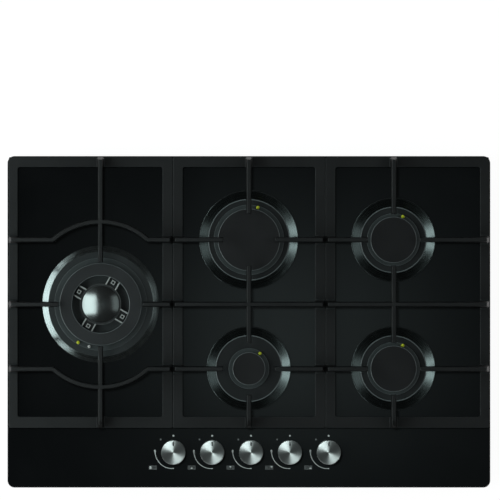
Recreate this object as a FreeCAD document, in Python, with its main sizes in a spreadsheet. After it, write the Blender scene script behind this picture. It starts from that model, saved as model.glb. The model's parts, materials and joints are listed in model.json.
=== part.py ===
import FreeCAD, Part
import math
import os
import re

import Sketcher

# A built-in gas cooktop with five burners on one glass plate.
# The origin is the middle of the worktop seat: z = 0 is the worktop's surface, which the foam
# seal under the glass rests on.  +X is the cook's right, +Y the back and +Z up.

V = FreeCAD.Vector

SIZES = {
    # How far one piece or cutter reaches past a face of another, so that no two faces coincide.
    "past": 1.0,
    # Glass plate and the foam seal under its edge.
    "glass_long": 750.0,
    "glass_deep": 515.0,
    "glass_thick": 6.0,
    "glass_corner": 11.0,
    "glass_bevel": 0.8,
    "seal_thick": 2.0,
    "seal_inset": 6.0,
    "seal_wide": 10.0,
    # Sheet steel tray under the glass, with a notch in its rear right corner for the supplies.
    "tray_long": 556.0,
    "tray_deep": 476.0,
    "tray_drop": 50.0,
    "tray_sheet": 1.0,
    "tray_lip": 8.0,
    "tray_corner": 6.0,
    "notch_long": 74.0,
    "notch_deep": 49.0,
    "notch_rise": 28.0,
    "clamp_hole": 2.6,
    "clamp_long": 400.0,
    "clamp_deep": 400.0,
    # Places of the burners.
    "wok_x": -230.0,
    "mid_x": 0.0,
    "semi_x": 224.5,
    "middle_row": 27.4,
    "row_step": 100.0,
    # Bowls: outer rim, edge of the flat floor, and the wok plate that is raised instead.
    "rapid_rim": 77.0,
    "rapid_floor": 62.0,
    "semi_rim": 65.5,
    "semi_floor": 50.0,
    "aux_rim": 65.5,
    "aux_floor": 50.5,
    "wok_rim": 90.8,
    "wok_flat": 81.7,
    "wok_rise": 6.0,
    "rim_proud": 2.0,
    "rim_chamfer": 1.0,
    "rim_overlap": 4.0,
    "rim_clear": 0.4,
    "wok_hole_gap": 3.0,
    "bowl_drop": 5.0,
    "bowl_sheet": 0.8,
    "bowl_clear": 0.3,
    # Burner bodies: skirt seen round the crown, and the cup under it.
    "rapid_skirt_past": 6.0,
    "semi_skirt_past": 5.0,
    "aux_skirt_past": 5.8,
    "wok_skirt_past": 8.2,
    "rapid_cup_inset": 10.5,
    "semi_cup_inset": 9.0,
    "aux_cup_inset": 7.7,
    "wok_cup": 34.0,
    "cup_wall": 2.5,
    "cup_floor": 4.0,
    "skirt_rise": 2.0,
    "skirt_flange": 5.0,
    "flange_thick": 2.0,
    "lip_round": 0.5,
    "wok_neck_wall": 4.0,
    "wok_bore_overhang": 1.6,
    "wok_well_floor": 3.0,
    "window_wide": 12.0,
    "window_high": 9.0,
    # Crowns (flame rings) and the caps on them.
    "rapid_cap": 48.5,
    "semi_cap": 36.0,
    "aux_cap": 25.7,
    "wok_cap": 63.8,
    "wok_cap_bore": 44.4,
    "dome_cap": 28.5,
    "dome_rise": 5.5,
    "dome_edge": 1.5,
    "cap_overhang": 3.0,
    "cap_thick": 6.0,
    "ring_cap_thick": 4.0,
    "cap_round": 1.5,
    "cap_spigot": 2.5,
    "crown_high": 11.0,
    "wok_crown_high": 12.0,
    "crown_wall": 4.0,
    "crown_base": 3.0,
    "crown_spigot": 4.0,
    "crown_clear": 0.3,
    "inner_crown_past": 3.0,
    "inner_crown_low": 3.0,
    "inner_crown_high": 11.0,
    "rapid_venturi": 12.0,
    "semi_venturi": 9.0,
    "aux_venturi": 6.0,
    "wok_venturi": 11.0,
    "venturi_wall": 2.0,
    "venturi_low": -8.0,
    "port_wide": 1.6,
    "port_high": 4.5,
    "rapid_ports": 30.0,
    "semi_ports": 24.0,
    "aux_ports": 18.0,
    "wok_ports": 40.0,
    "inner_ports": 16.0,
    "bridge_turn": 60.0,
    "bridge_wide": 19.0,
    "bridge_wall": 2.0,
    "bridge_high": 8.0,
    "bridge_boss": 6.0,
    "bridge_hole": 1.8,
    # Spark plugs and flame-failure probes: distance from the burner's axis and angle from +X.
    "plug_radius": 2.2,
    "plug_collar": 3.6,
    "plug_clear": 0.2,
    "plug_low": -16.0,
    "electrode_radius": 0.8,
    "probe_radius": 2.0,
    "probe_high": 8.0,
    "probe_tip": 2.0,
    "probe_taper": 0.7,
    "collar_drop": 8.0,
    "ceramic_rise": 4.0,
    "electrode_rise": 7.0,
    "wok_probe_past": 4.9,
    "wok_probe_turn": 239.5,
    "wok_plug_past": 4.2,
    "wok_plug_turn": 254.7,
    "rapid_probe_past": 3.4,
    "rapid_probe_turn": 74.5,
    "semi_probe_past": 2.7,
    "semi_probe_turn": 68.0,
    "aux_probe_past": 3.2,
    "aux_probe_turn": 54.0,
    "plug_inset": 3.2,
    "plug_lead": 50.0,
    "plug_notch": 4.6,
    # Bridges that carry the burner bodies over the tray's floor.
    "rail_wide": 30.0,
    "rail_sheet": 2.0,
    "rail_drop": 24.0,
    "rail_foot": 14.0,
    "short_rail_past": 28.0,
    "long_rail_past": 45.0,
    "rail_hole": 5.0,
    "screw_radius": 2.0,
    "screw_hole": 2.15,
    "screw_head": 3.6,
    "screw_head_high": 2.4,
    "screw_inset": 7.5,
    # Pan supports: low flat frames with raised fingers.
    "grate_gap": 1.0,
    "grate_edge": 2.6,
    "grate_half": 118.0,
    "grate_back": 255.7,
    "grate_front": -164.4,
    "frame_side": 13.3,
    "frame_joint": 15.0,
    "frame_back": 15.3,
    "frame_front": 17.0,
    "frame_high": 10.0,
    "frame_corner": 3.5,
    "frame_outer_corner": 2.0,
    "finger_top": 50.0,
    "finger_high": 12.0,
    "finger_wide": 5.0,
    "finger_tip_slope": 0.8,
    "finger_foot": 8.0,
    "finger_tip": 40.0,
    "wok_tip_clear": 1.2,
    "post_wide": 13.0,
    "post_slope": 4.0,
    "post_sink": 8.0,
    "arc_half": 73.3,
    "arc_bulge": 28.0,
    "foot_radius": 5.0,
    "foot_high": 3.0,
    "foot_peg": 2.0,
    "foot_peg_high": 4.0,
    "foot_fit": 0.05,
    # Knobs, stems and valves.
    "knob_radius": 18.65,
    "knob_x": 3.3,
    "knob_y": -202.6,
    "knob_step": 60.3,
    "knob_lift": 3.5,
    "knob_high": 19.5,
    "knob_wall": 1.2,
    "knob_roof": 2.5,
    "knob_chamfer": 1.0,
    "knob_boss_wall": 3.0,
    "knob_boss_up": 1.0,
    "marker_near": 10.3,
    "marker_far": 16.4,
    "marker_wide": 2.0,
    "marker_deep": 0.4,
    "stem_radius": 3.0,
    "stem_flat_deep": 0.8,
    "stem_fit": 0.05,
    "stem_end": 4.0,
    "collar_past": 2.5,
    "collar_thick": 1.6,
    "blade_thick": 2.0,
    "blade_narrower": 0.3,
    "blade_deep": 7.0,
    "slot_spare": 0.5,
    "push": 3.0,
    "grommet_wall": 3.0,
    "grommet_lip": 3.0,
    "grommet_thick": 1.2,
    "grommet_clear": 0.3,
    "valve_wall": 4.0,
    "valve_top": -6.0,
    "valve_roof": 2.0,
    "chamber_clear": 1.0,
    "chamber_high": 12.0,
    "plug_shoulder": 0.5,
    "plug_high": 20.0,
    "plug_play": 0.3,
    "knob_play": 0.3,
    "plug_port": 2.0,
    "spring_past": 1.6,
    "spring_wire": 0.4,
    "spring_gap": 0.1,
    "spring_turns": 4.5,
    # Gas pipes, their supply rail and the inlet.
    "gas_level": -35.0,
    "pipe_radius": 3.0,
    "pipe_wall": 0.75,
    "pipe_bend": 18.0,
    "pipe_sink": 4.0,
    "port_boss": 6.0,
    "port_reach": 17.0,
    "saddle_past": 8.0,
    "boss_sink": 2.0,
    "rapid_pipe_x": 34.0,
    "rapid_pipe_front": -160.0,
    "rapid_pipe_back": -138.0,
    "rail_radius": 7.0,
    "rail_bore": 6.0,
    "rail_behind": 21.4,
    "rail_start": 24.0,
    "rail_bend": 22.0,
    "inlet_x": 258.0,
    "inlet_y": 212.0,
    "inlet_level": -11.0,
    "inlet_rise_front": 146.0,
    "inlet_rise_back": 178.0,
    "inlet_block": 12.0,
    "inlet_block_high": 18.0,
    "inlet_thread": 10.48,
    "inlet_neck": 10.0,
    "inlet_shoulder": 0.5,
    "inlet_bore": 7.0,
    "inlet_long": 24.0,
    "holder_radius": 7.5,
    "holder_high": 16.0,
    "jet_neck": 4.5,
    "jet_tip": 3.0,
    "jet_high": 12.0,
    "jet_cone": 4.0,
    "jet_bore": 1.0,
    # Ignition unit and the cable's inlet.
    "ignition_long": 70.0,
    "ignition_deep": 38.0,
    "ignition_high": 24.0,
    "ignition_x": 90.0,
    "ignition_y": 208.0,
    "socket_radius": 3.0,
    "socket_high": 4.0,
    "gland_x": 222.0,
    "gland_bore": 3.6,
    "gland_neck": 6.5,
    "gland_flange": 9.0,
    "gland_thick": 3.0,
}

DRIVEN = {
    "glass_under": "seal_thick",
    "glass_face": "seal_thick + glass_thick",
    "tray_bottom": "glass_under - tray_drop",
    "tray_floor": "tray_bottom + tray_sheet",
    "notch_roof": "tray_bottom + notch_rise",
    "rear_row": "middle_row + row_step",
    "front_row": "middle_row - row_step",
    "rim_top": "glass_face + rim_proud",
    "bowl_top": "rim_top - bowl_drop",
    "bowl_under": "bowl_top - bowl_sheet",
    "skirt_top": "bowl_top + skirt_rise",
    "wok_plate": "glass_face + wok_rise",
    "wok_skirt_top": "wok_plate + skirt_rise",
    "rail_top": "glass_under - rail_drop",
    "crown_top": "skirt_top + crown_high",
    "cap_top": "crown_top + cap_thick",
    "wok_crown_top": "wok_skirt_top + wok_crown_high",
    "inner_crown_under": "wok_skirt_top - inner_crown_low",
    "inner_crown_top": "inner_crown_under + inner_crown_high",
    "rapid_skirt": "rapid_cap + rapid_skirt_past",
    "semi_skirt": "semi_cap + semi_skirt_past",
    "aux_skirt": "aux_cap + aux_skirt_past",
    "wok_skirt": "wok_cap + wok_skirt_past",
    "rapid_cup": "rapid_cap - rapid_cup_inset",
    "semi_cup": "semi_cap - semi_cup_inset",
    "aux_cup": "aux_cap - aux_cup_inset",
    "wok_well": "wok_cap_bore + wok_bore_overhang",
    "wok_neck": "wok_well + wok_neck_wall",
    "inner_crown": "dome_cap + inner_crown_past",
    "rapid_probe": "rapid_cap + rapid_probe_past",
    "semi_probe": "semi_cap + semi_probe_past",
    "aux_probe": "aux_cap + aux_probe_past",
    "wok_probe": "wok_cap + wok_probe_past",
    "wok_plug": "wok_cap + wok_plug_past",
    "short_rail_half": "wok_cup + short_rail_past",
    "long_rail_half": "row_step + long_rail_past",
    "wok_tip": "wok_cap + wok_tip_clear",
    "rapid_crown": "rapid_cap - cap_overhang",
    "semi_crown": "semi_cap - cap_overhang",
    "aux_crown": "aux_cap - cap_overhang",
    "wok_crown": "wok_cap - cap_overhang",
    "rapid_plug": "rapid_cap - plug_inset",
    "semi_plug": "semi_cap - plug_inset",
    "aux_plug": "aux_cap - plug_inset",
    "rapid_plug_turn": "rapid_probe_turn + plug_lead",
    "semi_plug_turn": "semi_probe_turn + plug_lead",
    "aux_plug_turn": "aux_probe_turn + plug_lead",
    "frame_under": "glass_face + foot_high",
    "frame_top": "frame_under + frame_high",
    "finger_under": "finger_top - finger_high",
    "grate_outer": "glass_long / 2 - grate_edge",
    "arc_radius": "(arc_half * arc_half + arc_bulge * arc_bulge) / (2 * arc_bulge)",
    "stem_flat": "stem_radius - stem_flat_deep",
    "stem_collar": "stem_radius + collar_past",
    "blade_wide": "2 * (stem_radius - blade_narrower)",
    "spring_radius": "stem_radius + spring_past",
    "chamber_radius": "stem_collar + chamber_clear",
    "plug_body": "chamber_radius + plug_shoulder",
    "valve_radius": "plug_body + valve_wall",
    "knob_boss": "stem_radius + knob_boss_wall",
    "grommet_hole": "stem_radius + grommet_wall",
    "grommet_flange": "grommet_hole + grommet_lip",
    "knob_low": "glass_face + knob_lift",
    "knob_top": "knob_low + knob_high",
    "stem_top": "knob_top - stem_end - knob_play",
    "collar_top": "valve_top - valve_roof",
    "chamber_low": "collar_top - chamber_high",
    "plug_top": "chamber_low - plug_play",
    "plug_under": "plug_top - plug_high",
    "blade_low": "chamber_low - blade_deep",
    "blade_high": "chamber_low + push + past",
    "spring_low": "plug_top + spring_gap + spring_wire",
    "spring_high": "collar_top - collar_thick - spring_gap - spring_wire",
    "gas_rail_y": "knob_y - rail_behind",
}

# Knobs from left to right, each with the burner that it serves.
KNOBS = ("wok", "aux", "rapid", "semi_rear", "semi_front")
BURNERS = {
    "wok": ("wok", "wok_x", "middle_row"),
    "rapid": ("rapid", "mid_x", "rear_row"),
    "semi_rear": ("semi", "semi_x", "rear_row"),
    "semi_front": ("semi", "semi_x", "front_row"),
    "aux": ("aux", "mid_x", "front_row"),
}


doc = FreeCAD.newDocument("cooktop")
sheet = doc.addObject("Spreadsheet::Sheet", "Sizes")
for row, (size_name, size_value) in enumerate(SIZES.items(), start=1):
    sheet.set(f"A{row}", size_name)
    sheet.set(f"B{row}", str(size_value))
    sheet.setAlias(f"B{row}", size_name)
doc.recompute()

nodes = []


def formula(text):
    """A formula in the sizes' own names, with each name pointed at the set that holds it."""
    def point(match):
        word = match.group(0)
        if word in SIZES:
            return "Sizes." + word
        if word in DRIVEN:
            return "Driven." + word
        return word
    return re.sub(r"[a-z_]\w*", point, str(text))


def number(text):
    return float(sheet.evalExpression(formula(text)))


def bind(item, **places):
    """Tie properties of an item to formulas; a double underscore stands for a dot."""
    for name, text in places.items():
        item.setExpression(name.replace("__", "."), formula(text))


driven = doc.addObject("App::VarSet", "Driven")
for driven_name in DRIVEN:
    driven.addProperty("App::PropertyFloat", driven_name, "Driven")
for driven_name, driven_text in DRIVEN.items():
    driven.setExpression(driven_name, formula(driven_text))
doc.recompute()


# Helpers that make and place items.

def node(item, label, x="0", y="0", z="0"):
    """Name a finished sub-part, place it, and put it on the list of those written out."""
    item.Label = label
    bind(item, Placement__Base__x=x, Placement__Base__y=y, Placement__Base__z=z)
    nodes.append(item)
    return item


def place(item, x="0", y="0", z="0"):
    bind(item, Placement__Base__x=x, Placement__Base__y=y, Placement__Base__z=z)
    return item


def new_body(name):
    return doc.addObject("PartDesign::Body", name)


def origin_item(body, role):
    return [item for item in body.Origin.OriginFeatures if item.Role == role][0]


def sketch_on(body, role, name, height="0"):
    sketch = body.newObject("Sketcher::SketchObject", name)
    sketch.AttachmentSupport = [(origin_item(body, role), "")]
    sketch.MapMode = "FlatFace"
    bind(sketch, AttachmentOffset__Base__z=height)
    return sketch


def tie(sketch, kind, geometry, point, text, start):
    index = sketch.addConstraint(Sketcher.Constraint(kind, -1, 1, geometry, point, start))
    sketch.setExpression(f"Constraints[{index}]", formula(text))


def outline(sketch, points):
    """A closed outline through points, each of whose coordinates is a formula."""
    corners = [V(number(u), number(v), 0) for u, v in points]
    first = sketch.GeometryCount
    ends = corners[1:] + corners[:1]
    sketch.addGeometry([Part.LineSegment(a, b) for a, b in zip(corners, ends)], False)
    count = len(points)
    joins = []
    for index in range(count):
        after = first + (index + 1) % count
        joins.append(Sketcher.Constraint("Coincident", first + index, 2, after, 1))
    sketch.addConstraint(joins)
    for index, (u, v) in enumerate(points):
        tie(sketch, "DistanceX", first + index, 1, u, corners[index].x)
        tie(sketch, "DistanceY", first + index, 1, v, corners[index].y)
    return sketch


def rectangle(sketch, left, right, low, high):
    return outline(sketch, [(left, low), (right, low), (right, high), (left, high)])


def circles(sketch, rounds):
    """Circles given as (x, y, radius), all formulas."""
    for x, y, radius in rounds:
        centre = V(number(x), number(y), 0)
        index = sketch.addGeometry(Part.Circle(centre, V(0, 0, 1), number(radius)), False)
        tie(sketch, "DistanceX", index, 3, x, centre.x)
        tie(sketch, "DistanceY", index, 3, y, centre.y)
        limit = sketch.addConstraint(Sketcher.Constraint("Radius", index, number(radius)))
        sketch.setExpression(f"Constraints[{limit}]", formula(radius))
    return sketch


def pad(body, sketch, name, length, middle=False):
    item = body.newObject("PartDesign::Pad", name)
    item.Profile = sketch
    item.Midplane = middle
    bind(item, Length=length)
    return item


def pocket(body, sketch, name, length, reverse=False):
    """A pocket that has to take something away, whichever way it is cut."""
    doc.recompute()
    before = body.Shape.Volume
    item = body.newObject("PartDesign::Pocket", name)
    item.Profile = sketch
    item.Reversed = reverse
    bind(item, Length=length)
    doc.recompute()
    if body.Shape.Volume > before - 0.01:
        raise RuntimeError(f"{body.Name}: {name} cuts nothing")
    return item


def around(body, feature, name, count):
    """Repeat a feature about the body's own Z axis."""
    item = body.newObject("PartDesign::PolarPattern", name)
    item.Originals = [feature]
    item.Axis = (origin_item(body, "Z_Axis"), [""])
    item.Angle = 360
    bind(item, Occurrences=count)
    body.Tip = item
    doc.recompute()
    return item


def turned(name, points):
    """A body turned about Z from an outline of (radius, height) points."""
    body = new_body(name)
    sketch = outline(sketch_on(body, "XZ_Plane", name + "_outline"), points)
    item = body.newObject("PartDesign::Revolution", name + "_turn")
    item.Profile = sketch
    item.ReferenceAxis = (sketch, ["V_Axis"])
    item.Angle = 360
    return body


def round_edges(body, name, wanted, radius, kind="PartDesign::Fillet"):
    """Fillet or chamfer the edges of the body that the test picks."""
    doc.recompute()
    base = body.Tip
    edges = [f"Edge{i}" for i, edge in enumerate(base.Shape.Edges, start=1) if wanted(edge)]
    item = body.newObject(kind, name)
    item.Base = (base, edges)
    bind(item, **{"Radius" if kind.endswith("Fillet") else "Size": radius})
    return item


def upright(edge):
    """A straight edge along Z."""
    ends = edge.Vertexes
    if len(ends) != 2:
        return False
    step = ends[1].Point - ends[0].Point
    return abs(step.x) < 1e-6 and abs(step.y) < 1e-6


def ring_at(height, radius):
    """A test for circular edges about Z at this height and of this radius."""
    def wanted(edge):
        box = edge.BoundBox
        flat = box.ZLength < 1e-4 and abs(box.ZMin - number(height)) < 1e-3
        return flat and abs(box.XMax - number(radius)) < 1e-3
    return wanted


def cylinder(name, radius, low, high, x="0", y="0"):
    item = doc.addObject("Part::Cylinder", name)
    bind(item, Radius=radius, Height=f"({high}) - ({low})")
    return place(item, x, y, low)


def cross_cylinder(name, radius, turn, start, end, level, x="0", y="0"):
    """A level cylinder that runs outwards from (x, y) in the direction of the angle turn."""
    item = doc.addObject("Part::Cylinder", name)
    item.Placement = FreeCAD.Placement(
        V(), FreeCAD.Rotation(V(0, 0, 1), turn).multiply(FreeCAD.Rotation(V(0, 1, 0), 90)))
    bind(item, Radius=radius, Height=f"({end}) - ({start})")
    return place(item, f"({x}) + ({start}) * cos({turn})", f"({y}) + ({start}) * sin({turn})", level)


def box(name, left, right, front, back, low, high):
    item = doc.addObject("Part::Box", name)
    bind(item, Length=f"({right}) - ({left})", Width=f"({back}) - ({front})",
         Height=f"({high}) - ({low})")
    return place(item, left, front, low)


def beam(name, turn, start, end, low, high, wide, wide_top=None, trim_start="0", trim_end="0",
         x="0", y="0"):
    """A bar from start to end along the angle turn, narrowed and trimmed towards its top."""
    item = doc.addObject("Part::Wedge", name)
    item.Placement = FreeCAD.Placement(
        V(), FreeCAD.Rotation(V(0, 0, 1), turn).multiply(FreeCAD.Rotation(V(1, 1, 1), 120)))
    top = wide_top or wide
    bind(item, Xmin=f"-({wide}) / 2", Xmax=f"({wide}) / 2",
         X2min=f"-({top}) / 2", X2max=f"({top}) / 2",
         Ymin=low, Ymax=high, Zmin=start, Zmax=end,
         Z2min=f"({start}) + ({trim_start})", Z2max=f"({end}) - ({trim_end})")
    return place(item, x, y)


def cut(name, base, tool):
    item = doc.addObject("Part::Cut", name)
    item.Base = base
    item.Tool = tool
    return item


def common(name, base, tool):
    item = doc.addObject("Part::Common", name)
    item.Base = base
    item.Tool = tool
    return item


def fuse(name, items):
    item = doc.addObject("Part::MultiFuse", name)
    item.Shapes = items
    return item


def group(name, items):
    item = doc.addObject("Part::Compound", name)
    item.Links = items
    return item


def tube_shape(points, radius, bend):
    """A round bar along straight runs joined by tangent arcs."""
    edges = []
    here = points[0]
    for before, corner, after in zip(points, points[1:], points[2:]):
        arriving = (corner - before).normalize()
        leaving = (after - corner).normalize()
        turn = arriving.getAngle(leaving)
        setback = bend * math.tan(turn / 2)
        start = corner - arriving * setback
        end = corner + leaving * setback
        inward = (leaving - arriving).normalize()
        reach = (bend ** 2 + setback ** 2) ** 0.5 - bend
        edges.append(Part.LineSegment(here, start).toShape())
        edges.append(Part.Arc(start, corner + inward * reach, end).toShape())
        here = end
    edges.append(Part.LineSegment(here, points[-1]).toShape())
    path = Part.Wire(edges)
    ring = Part.Wire(Part.Circle(points[0], points[1] - points[0], radius).toShape())
    solid = path.makePipeShell([ring], True, False)
    section = math.pi * radius ** 2
    if abs(solid.Volume - section * path.Length) > 0.002 * solid.Volume:
        raise RuntimeError("a tube's volume is not its section times its length")
    return solid


def tube(name, points, radius, bore, bend):
    """A bent tube; its route, radii and bend are formulas."""
    item = doc.addObject("Part::Feature", name)
    route = [V(number(x), number(y), number(z)) for x, y, z in points]
    outer = tube_shape(route, number(radius), number(bend))
    item.Shape = outer.cut(tube_shape(route, number(bore), number(bend)))
    return item


# Glass, seal and tray.

def burner_places():
    return [(name, kind, x, y) for name, (kind, x, y) in BURNERS.items()]


def knob_x(index):
    return f"knob_x + ({index - 2}) * knob_step"


def polar(kind, what):
    """The place of a burner's plug or probe, from the burner's axis."""
    return (f"{kind}_{what} * cos({kind}_{what}_turn)", f"{kind}_{what} * sin({kind}_{what}_turn)")


def glass_top():
    body = new_body("glass_top")
    sketch = sketch_on(body, "XY_Plane", "glass_outline", "glass_under")
    rectangle(sketch, "-glass_long / 2", "glass_long / 2", "-glass_deep / 2", "glass_deep / 2")
    pad(body, sketch, "glass_plate", "glass_thick")
    round_edges(body, "glass_corners", upright, "glass_corner")
    round_edges(body, "glass_edge", lambda edge: edge.BoundBox.ZMin > number("glass_face") - 1e-4,
                "glass_bevel", "PartDesign::Chamfer")
    holes = []
    for name, kind, x, y in burner_places():
        radius = "wok_cup + bowl_clear + wok_hole_gap" if kind == "wok" else f"{kind}_rim - rim_overlap"
        holes.append((x, y, radius))
    for what, radius in (("probe", "probe_radius"), ("plug", "plug_collar")):
        dx, dy = polar("wok", what)
        holes.append((f"wok_x + {dx}", f"middle_row + {dy}", f"{radius} + bowl_clear"))
    for index in range(len(KNOBS)):
        holes.append((knob_x(index), "knob_y", "grommet_hole"))
    sketch = circles(sketch_on(body, "XY_Plane", "glass_rounds", "glass_face"), holes)
    pocket(body, sketch, "glass_holes", "glass_thick")
    node(body, "glass_top")


def worktop_seal():
    body = new_body("worktop_seal")
    sketch = sketch_on(body, "XY_Plane", "seal_outline")
    rectangle(sketch, "-glass_long / 2 + seal_inset", "glass_long / 2 - seal_inset",
              "-glass_deep / 2 + seal_inset", "glass_deep / 2 - seal_inset")
    rectangle(sketch, "-glass_long / 2 + seal_inset + seal_wide",
              "glass_long / 2 - seal_inset - seal_wide",
              "-glass_deep / 2 + seal_inset + seal_wide",
              "glass_deep / 2 - seal_inset - seal_wide")
    pad(body, sketch, "seal_strip", "seal_thick")
    node(body, "worktop_seal")


RAILS = (
    ("wok_x", "middle_row", "short_rail_half"),
    ("mid_x", "middle_row", "long_rail_half"),
    ("semi_x", "middle_row", "long_rail_half"),
)


def rail_screws():
    """The places of the screws through the bridges' feet, as (x, y)."""
    reach = "rail_foot / 2"
    return [(x, f"{y} + ({side}) * ({half} + {reach})") for x, y, half in RAILS for side in (-1, 1)]


def burner_screws():
    """The places of the two screws in each burner's cup, as (x, y)."""
    places = []
    for name, kind, x, y in burner_places():
        for side in (-1, 1):
            places.append((x, f"{y} + ({side}) * ({kind}_cup - screw_inset)"))
    return places


def tray():
    body = new_body("tray")
    half_long = "tray_long / 2"
    half_deep = "tray_deep / 2"
    wall = "tray_sheet"
    sketch = sketch_on(body, "XY_Plane", "tray_outline", "tray_bottom")
    rectangle(sketch, f"-{half_long}", half_long, f"-{half_deep}", half_deep)
    pad(body, sketch, "tray_block", "tray_drop")
    sketch = sketch_on(body, "XY_Plane", "tray_mouth", "glass_under")
    rectangle(sketch, f"-{half_long} + tray_lip", f"{half_long} - tray_lip",
              f"-{half_deep} + tray_lip", f"{half_deep} - tray_lip")
    pocket(body, sketch, "tray_opening", "tray_sheet")
    sketch = sketch_on(body, "XY_Plane", "tray_inside", f"glass_under - {wall}")
    rectangle(sketch, f"-{half_long} + {wall}", f"{half_long} - {wall}",
              f"-{half_deep} + {wall}", f"{half_deep} - {wall}")
    pocket(body, sketch, "tray_cavity", "tray_drop - 2 * tray_sheet")

    def inner_corner(edge):
        box = edge.BoundBox
        return upright(edge) and abs(box.ZLength - number("tray_drop - 2 * tray_sheet")) < 1e-3

    def outer_corner(edge):
        box = edge.BoundBox
        return upright(edge) and abs(box.ZLength - number("tray_drop")) < 1e-3

    round_edges(body, "tray_inner_corners", inner_corner, "tray_corner - tray_sheet")
    round_edges(body, "tray_outer_corners", outer_corner, "tray_corner")
    left = f"{half_long} - notch_long"
    front = f"{half_deep} - notch_deep"
    sketch = sketch_on(body, "XY_Plane", "notch_fill_outline", "tray_bottom")
    rectangle(sketch, left, f"{half_long} - {wall}", front, f"{half_deep} - {wall}")
    pad(body, sketch, "notch_fill", "notch_rise")
    sketch = sketch_on(body, "XY_Plane", "notch_outline", f"notch_roof - {wall}")
    rectangle(sketch, f"{left} + {wall}", f"{half_long} + {wall}",
              f"{front} + {wall}", f"{half_deep} + {wall}")
    pocket(body, sketch, "notch", f"notch_rise + {wall}")
    rounds = [(x, y, "screw_hole") for x, y in rail_screws()]
    for side in (-1, 1):
        for end in (-1, 1):
            rounds.append((f"({side}) * clamp_long / 2", f"({end}) * clamp_deep / 2", "clamp_hole"))
    sketch = circles(sketch_on(body, "XY_Plane", "floor_rounds", "tray_floor"), rounds)
    pocket(body, sketch, "floor_holes", f"{wall}")
    rounds = [("inlet_x", "inlet_y", "inlet_thread + bowl_clear"),
              ("gland_x", "inlet_y", "gland_neck + foot_fit")]
    sketch = circles(sketch_on(body, "XY_Plane", "roof_rounds", "notch_roof"), rounds)
    pocket(body, sketch, "roof_holes", f"{wall}")
    node(body, "tray")


def burner_rails():
    strips = []
    for number_of, (x, y, half) in enumerate(RAILS):
        name = f"bridge_{number_of}"
        body = new_body(name)
        sheet_up = "tray_floor + rail_sheet"
        under = "rail_top - rail_sheet"
        inner = f"{half} - rail_sheet"
        outer = f"{half} + rail_foot"
        outline(sketch_on(body, "YZ_Plane", name + "_side"), [
            (f"-({outer})", "tray_floor"), (f"-({inner})", "tray_floor"),
            (f"-({inner})", under), (inner, under),
            (inner, "tray_floor"), (outer, "tray_floor"),
            (outer, sheet_up), (half, sheet_up),
            (half, "rail_top"), (f"-{half}", "rail_top"),
            (f"-{half}", sheet_up), (f"-({outer})", sheet_up)])
        pad(body, body.Group[-1], name + "_strip", "rail_wide", middle=True)
        rounds = []
        for name_of, kind, burner_x, burner_y in burner_places():
            if burner_x == x:
                rounds.append(("0", f"{burner_y} - ({y})", "rail_hole"))
                for side in (-1, 1):
                    reach = f"({side}) * ({kind}_cup - screw_inset)"
                    rounds.append(("0", f"{burner_y} - ({y}) + {reach}", "screw_hole"))
        sketch = circles(sketch_on(body, "XY_Plane", name + "_rounds", "rail_top"), rounds)
        pocket(body, sketch, name + "_holes", "rail_sheet")
        feet = [("0", f"({side}) * ({half} + rail_foot / 2)", "screw_hole") for side in (-1, 1)]
        sketch = circles(sketch_on(body, "XY_Plane", name + "_foot_rounds", sheet_up), feet)
        pocket(body, sketch, name + "_foot_holes", "rail_sheet")
        strips.append(place(body, x, y))
    node(group("burner_rails", strips), "burner_rails")


def screws():
    """Screws through the bridges' feet into the tray, and through the cups into the bridges."""
    made = []
    floor_side = [(x, y, "tray_floor + rail_sheet", "tray_bottom") for x, y in rail_screws()]
    cup_side = [(x, y, "rail_top + cup_floor", "rail_top - rail_sheet - past")
                for x, y in burner_screws()]
    for index, (x, y, seat, tip) in enumerate(floor_side + cup_side):
        body = turned(f"screw_{index}", [
            ("0", tip), ("screw_radius", tip), ("screw_radius", seat), ("screw_head", seat),
            ("screw_head", f"{seat} + screw_head_high"), ("0", f"{seat} + screw_head_high")])
        made.append(place(body, x, y))
    node(group("screws", made), "screws")


# Bowls, burner bodies, crowns and caps.

def bowl(name, kind):
    hole = f"{kind}_skirt + bowl_clear"
    seat = f"{kind}_rim - rim_overlap - rim_clear"
    return turned(name, [
        (f"{kind}_rim", "glass_face"), (f"{kind}_rim", "rim_top - rim_chamfer"),
        (f"{kind}_rim - rim_chamfer", "rim_top"), (f"{kind}_floor", "bowl_top"),
        (hole, "bowl_top"), (hole, "bowl_under"), (f"{kind}_floor", "bowl_under"),
        (seat, "glass_face")])


def wok_bowl():
    under = "wok_plate - bowl_sheet"
    body = turned("bowl_wok", [
        ("wok_rim", "glass_face"), ("wok_rim", "glass_face + bowl_sheet"),
        ("wok_flat", "wok_plate"), ("wok_neck + bowl_clear", "wok_plate"),
        ("wok_neck + bowl_clear", under), ("wok_flat - bowl_sheet", under),
        ("wok_rim - rim_overlap / 2", "glass_face")])
    rounds = []
    for what, radius in (("probe", "probe_radius"), ("plug", "plug_radius")):
        dx, dy = polar("wok", what)
        rounds.append((dx, dy, f"{radius} + plug_clear"))
    sketch = circles(sketch_on(body, "XY_Plane", "wok_plate_rounds", "wok_plate"), rounds)
    pocket(body, sketch, "wok_plate_holes", "bowl_sheet")
    return body


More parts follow.
